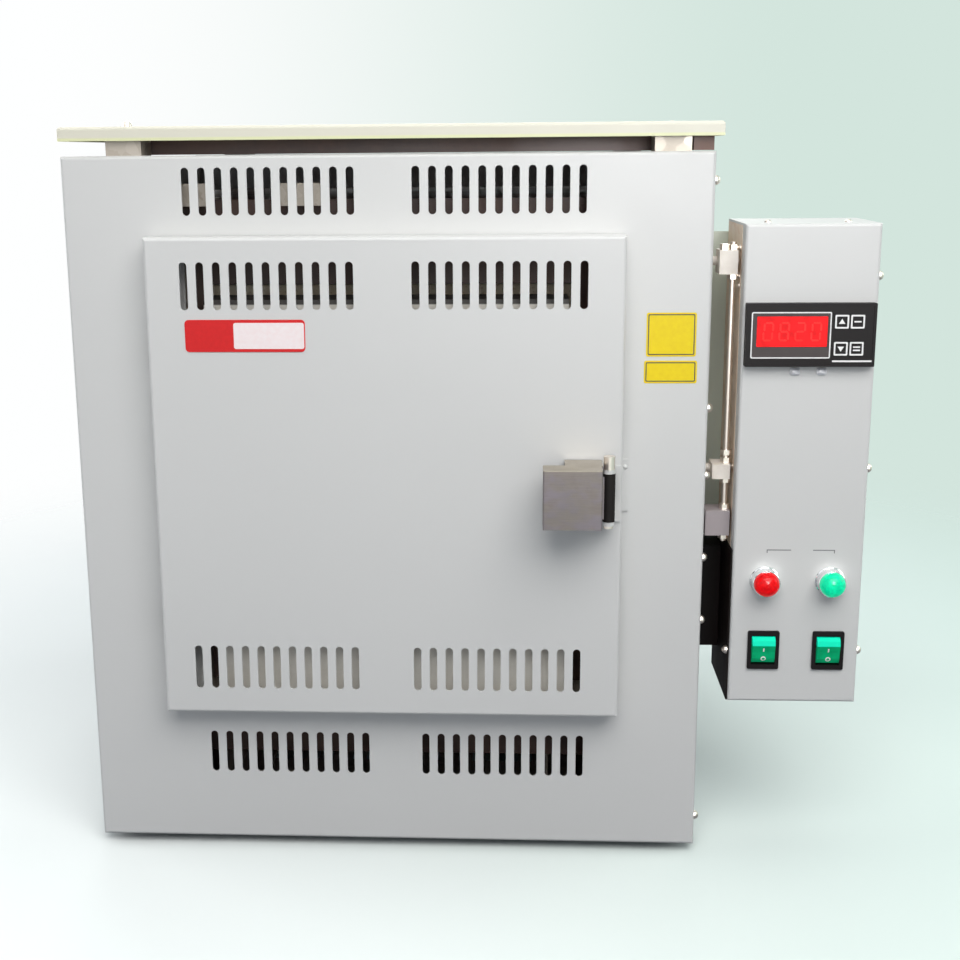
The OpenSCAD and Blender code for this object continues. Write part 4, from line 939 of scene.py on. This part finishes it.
# %% [markdown]
# ## The heating wire
# Each element is one wire that winds forward in the lower groove, climbs at the front and winds back
# in the upper groove. The path is written as points, and a tree turns the line of points into a
# smooth round wire. That way the thickness and the smoothness are two inputs.

# %% The tree that gives a line its thickness
def wire_tree():
    graph, start = geometry_graph("wound_wire", "Line", {"Radius": "Float", "Sides": "Int"}, "Wire")
    line = graph.add("GeometryNodeMeshToCurve", {"Mesh": start["Line"]})["Curve"]
    ring = {"Resolution": start["Sides"], "Radius": start["Radius"]}
    profile = graph.add("GeometryNodeCurvePrimitiveCircle", ring)["Curve"]
    swept = {"Curve": line, "Profile Curve": profile, "Fill Caps": True}
    skin = graph.add("GeometryNodeCurveToMesh", swept)["Mesh"]
    smooth = graph.add("GeometryNodeSetShadeSmooth", {"Geometry": skin})["Geometry"]
    return hand_out(graph, start, smooth, "Wire")


# %% The path of one element, in millimetres
WIRE_WIDTH, COIL_WIDTH = 2.4, 15.0
PITCH, TURNS, STEPS = 11.5, 22, 20
GROOVE_GAP = 80.0
FRONT_GAP, BEND, STRAIGHT = 1.5, 7.0, 3.0


def element_path(name, side):
    """Points from one end in the rear wall to the other. side is -1 on the left and 1 on the right."""
    low_corner, high_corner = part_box(name)
    radius = (COIL_WIDTH - WIRE_WIDTH) / 2
    far = (high_corner.y - ZERO.y) * MM_PER_M
    near = front_mm(name) + WIRE_WIDTH / 2
    first = near + FRONT_GAP
    last = first + TURNS * PITCH
    wall = ((high_corner.x if side > 0 else -low_corner.x) - side * ZERO.x) * MM_PER_M
    outer = wall - WIRE_WIDTH / 2
    middle_z = middle_mm(name)[2]
    lower, upper = middle_z - GROOVE_GAP / 2, middle_z + GROOVE_GAP / 2

    def winding(start, advance, height, sense):
        turns = [2 * math.pi * i / STEPS for i in range(TURNS * STEPS + 1)]
        return [(outer - radius + radius * math.cos(turn), start + advance * i / STEPS,
                 height + sense * radius * math.sin(turn)) for i, turn in enumerate(turns)]

    points = [(outer, far, lower), (outer, last + STRAIGHT, lower)]
    points += winding(last, -PITCH, lower, 1)
    points += [(outer, near, lower + BEND), (outer, near, upper - BEND)]
    points += winding(first, PITCH, upper, -1)
    points += [(outer, last + STRAIGHT, upper), (outer, far, upper)]
    return [spot(side * x, y, z) for x, y, z in points]


wires = wire_tree()
for side, name in ((-1, "element_left"), (1, "element_right")):
    points = element_path(name, side)
    line = bpy.data.meshes.new(name + "_line")
    line.from_pydata(points, [(i, i + 1) for i in range(len(points) - 1)], [])
    values = {"Radius": WIRE_WIDTH / 2 / MM_PER_M, "Sides": 8, "Metal": wire_metal.material}
    run_tree(name + "_wire", line, wires, values, "kiln", name)

# %% [markdown]
# ## Stage, light and camera
# The floor is a wide sheet that fades out, so that the pale surround shows through it and no horizon
# is seen. Both go from near white on the left to a pale green on the right. Both look brighter to the
# camera than the light that they throw on the kiln, so that a pale background doesn't bleach it.

# %% Rays that show the floor and the surround
PALE = linear(211, 229, 221)
FLOOR = linear(236, 241, 239)
WHITE = linear(254, 255, 255)


def shows(rays):
    """1 for a ray that shows what it meets, 0 for one that only gathers light."""
    return (rays["Is Camera Ray"] + rays["Is Glossy Ray"] + rays["Is Transmission Ray"]) > 0.5


# %% Floor
FLOOR_CORNERS = ((-8, -6, 0), (8, -6, 0), (8, 8, 0), (-8, 8, 0))
THROWN_BACK = (0.24, 0.25, 0.27, 1.0)
CLEAR_FROM, CLEAR_TO = 0.55, 1.3


def stage_material():
    """Lit floor near the kiln, clear further out. It throws less light back than it shows."""
    finish = Finish("stage_pale", roughness=0.9, specular_ior_level=0.1)
    rays = finish.add("ShaderNodeLightPath")
    shown = finish.mix(finish.axis("X").between(-0.35, 0.75), FLOOR, PALE)
    finish.colour(finish.mix(rays["Is Camera Ray"], THROWN_BACK, shown))
    reach = {0: finish.coords((1, 0.8, 1))}
    distance = finish.add("ShaderNodeVectorMath", reach, operation="LENGTH")["Value"]
    clear = finish.add("ShaderNodeBsdfTransparent")[0]
    share = distance.between(CLEAR_FROM, CLEAR_TO) * shows(rays)
    lit_floor = Wire(finish, finish.shader.outputs[0])
    blend = finish.add("ShaderNodeMixShader", {0: share, 1: lit_floor, 2: clear})
    finish.feed(finish.output.inputs[0], blend[0])
    return finish.material


floor_mesh = bpy.data.meshes.new("floor")
floor_mesh.from_pydata(FLOOR_CORNERS, [], [(0, 1, 2, 3)])
floor_mesh.materials.append(stage_material())
floor = put_in_scene("floor", floor_mesh)

# %% Surround
FILL_TINT, FILL_STRENGTH = (0.87, 0.96, 1.1, 1.0), 0.22

world = bpy.data.worlds.new("pale_surround")
bpy.context.scene.world = world
world.use_nodes = True
surround = Graph(world.node_tree)
tone = surround.mix(surround.axis("X").between(-0.32, 0.2), WHITE, PALE)
seen = surround.add("ShaderNodeBackground", {"Color": tone})[0]
lit = surround.add("ShaderNodeBackground", {"Color": FILL_TINT, "Strength": FILL_STRENGTH})[0]
chosen = shows(surround.add("ShaderNodeLightPath"))
blend = surround.add("ShaderNodeMixShader", {0: chosen, 1: lit, 2: seen})
surround.add("ShaderNodeOutputWorld", {0: blend[0]})

# %% [markdown]
# One large soft lamp stands above the camera. Weaker ones light the front from the left, the sides,
# the back and the lid, and the surround fills the shadows. A card that only glossy surfaces can see
# gives the upper right of the casing its sheen. A colour comes out about as it is written.

# %% Lamps, each with its place, the point it faces, its width, its height and its power in watts
def soft_lamp(name, place, target, width, height, power, tint=(1, 1, 1)):
    light = bpy.data.lights.new(name, "AREA")
    light.shape = "RECTANGLE"
    light.size = width
    light.size_y = height
    light.energy = power
    light.color = tint
    lamp = put_in_scene(name, light)
    lamp.location = place
    lamp.rotation_mode = "QUATERNION"
    lamp.rotation_quaternion = (Vector(target) - Vector(place)).to_track_quat("-Z", "Y")
    return lamp


soft_lamp("key_above_camera", (0.35, -1.5, 1.7), (-0.02, -0.2, 0.36), 2.0, 1.3, 38.5, (1.0, 0.988, 0.97))
soft_lamp("fill_front_left", (-0.9, -2.3, 0.8), (0.1, -0.1, 0.3), 1.4, 1.2, 3.0, (0.92, 0.97, 1.0))
sheen_card = soft_lamp("sheen_card_right", (0.42, -1.9, 0.82), (0.12, -0.2, 0.45), 0.6, 0.6, 27.0)
sheen_card.visible_diffuse = False
sheen_card.visible_transmission = False
soft_lamp("side_left", (-2.4, 0.25, 1.3), (0, 0.1, 0.3), 1.8, 1.4, 20.0)
soft_lamp("side_right", (2.4, 0.25, 1.3), (0, 0.1, 0.3), 1.8, 1.4, 16.0)
soft_lamp("back", (-0.5, 2.6, 1.5), (0, 0.2, 0.3), 2.4, 1.8, 34.0)
soft_lamp("overhead", (0.1, 0.3, 2.6), (0, 0.1, 0), 2.2, 2.0, 13.0)

# %% [markdown]
# The camera stands where the photographer stood: a little to the right of the casing's middle, about
# level with its top and just over a metre away. Its place, the way it faces and its lens were worked
# out from the kiln's edges.

# %% Camera
EYE = spot(99.2, -1080.2, 554.8)
RIGHT = Vector((0.99841, 0.05563, -0.00873))
DOWN = Vector((0.00399, -0.22455, -0.97445))
AHEAD = Vector((-0.05617, 0.97287, -0.22442))
SENSOR_MM, LENS_MM, SHIFT_X = 36.0, 53.38, 0.0455

camera_data = bpy.data.cameras.new("camera")
camera_data.sensor_width = SENSOR_MM
camera_data.lens = LENS_MM
camera_data.shift_x = SHIFT_X
camera = put_in_scene("camera", camera_data)
facing = Matrix((RIGHT, -DOWN, -AHEAD)).transposed()
camera.matrix_world = Matrix.Translation(EYE) @ facing.to_4x4()
bpy.context.scene.camera = camera
bpy.context.scene.view_settings.view_transform = "Standard"

# %% Update the scene and finish
bpy.context.view_layer.update()
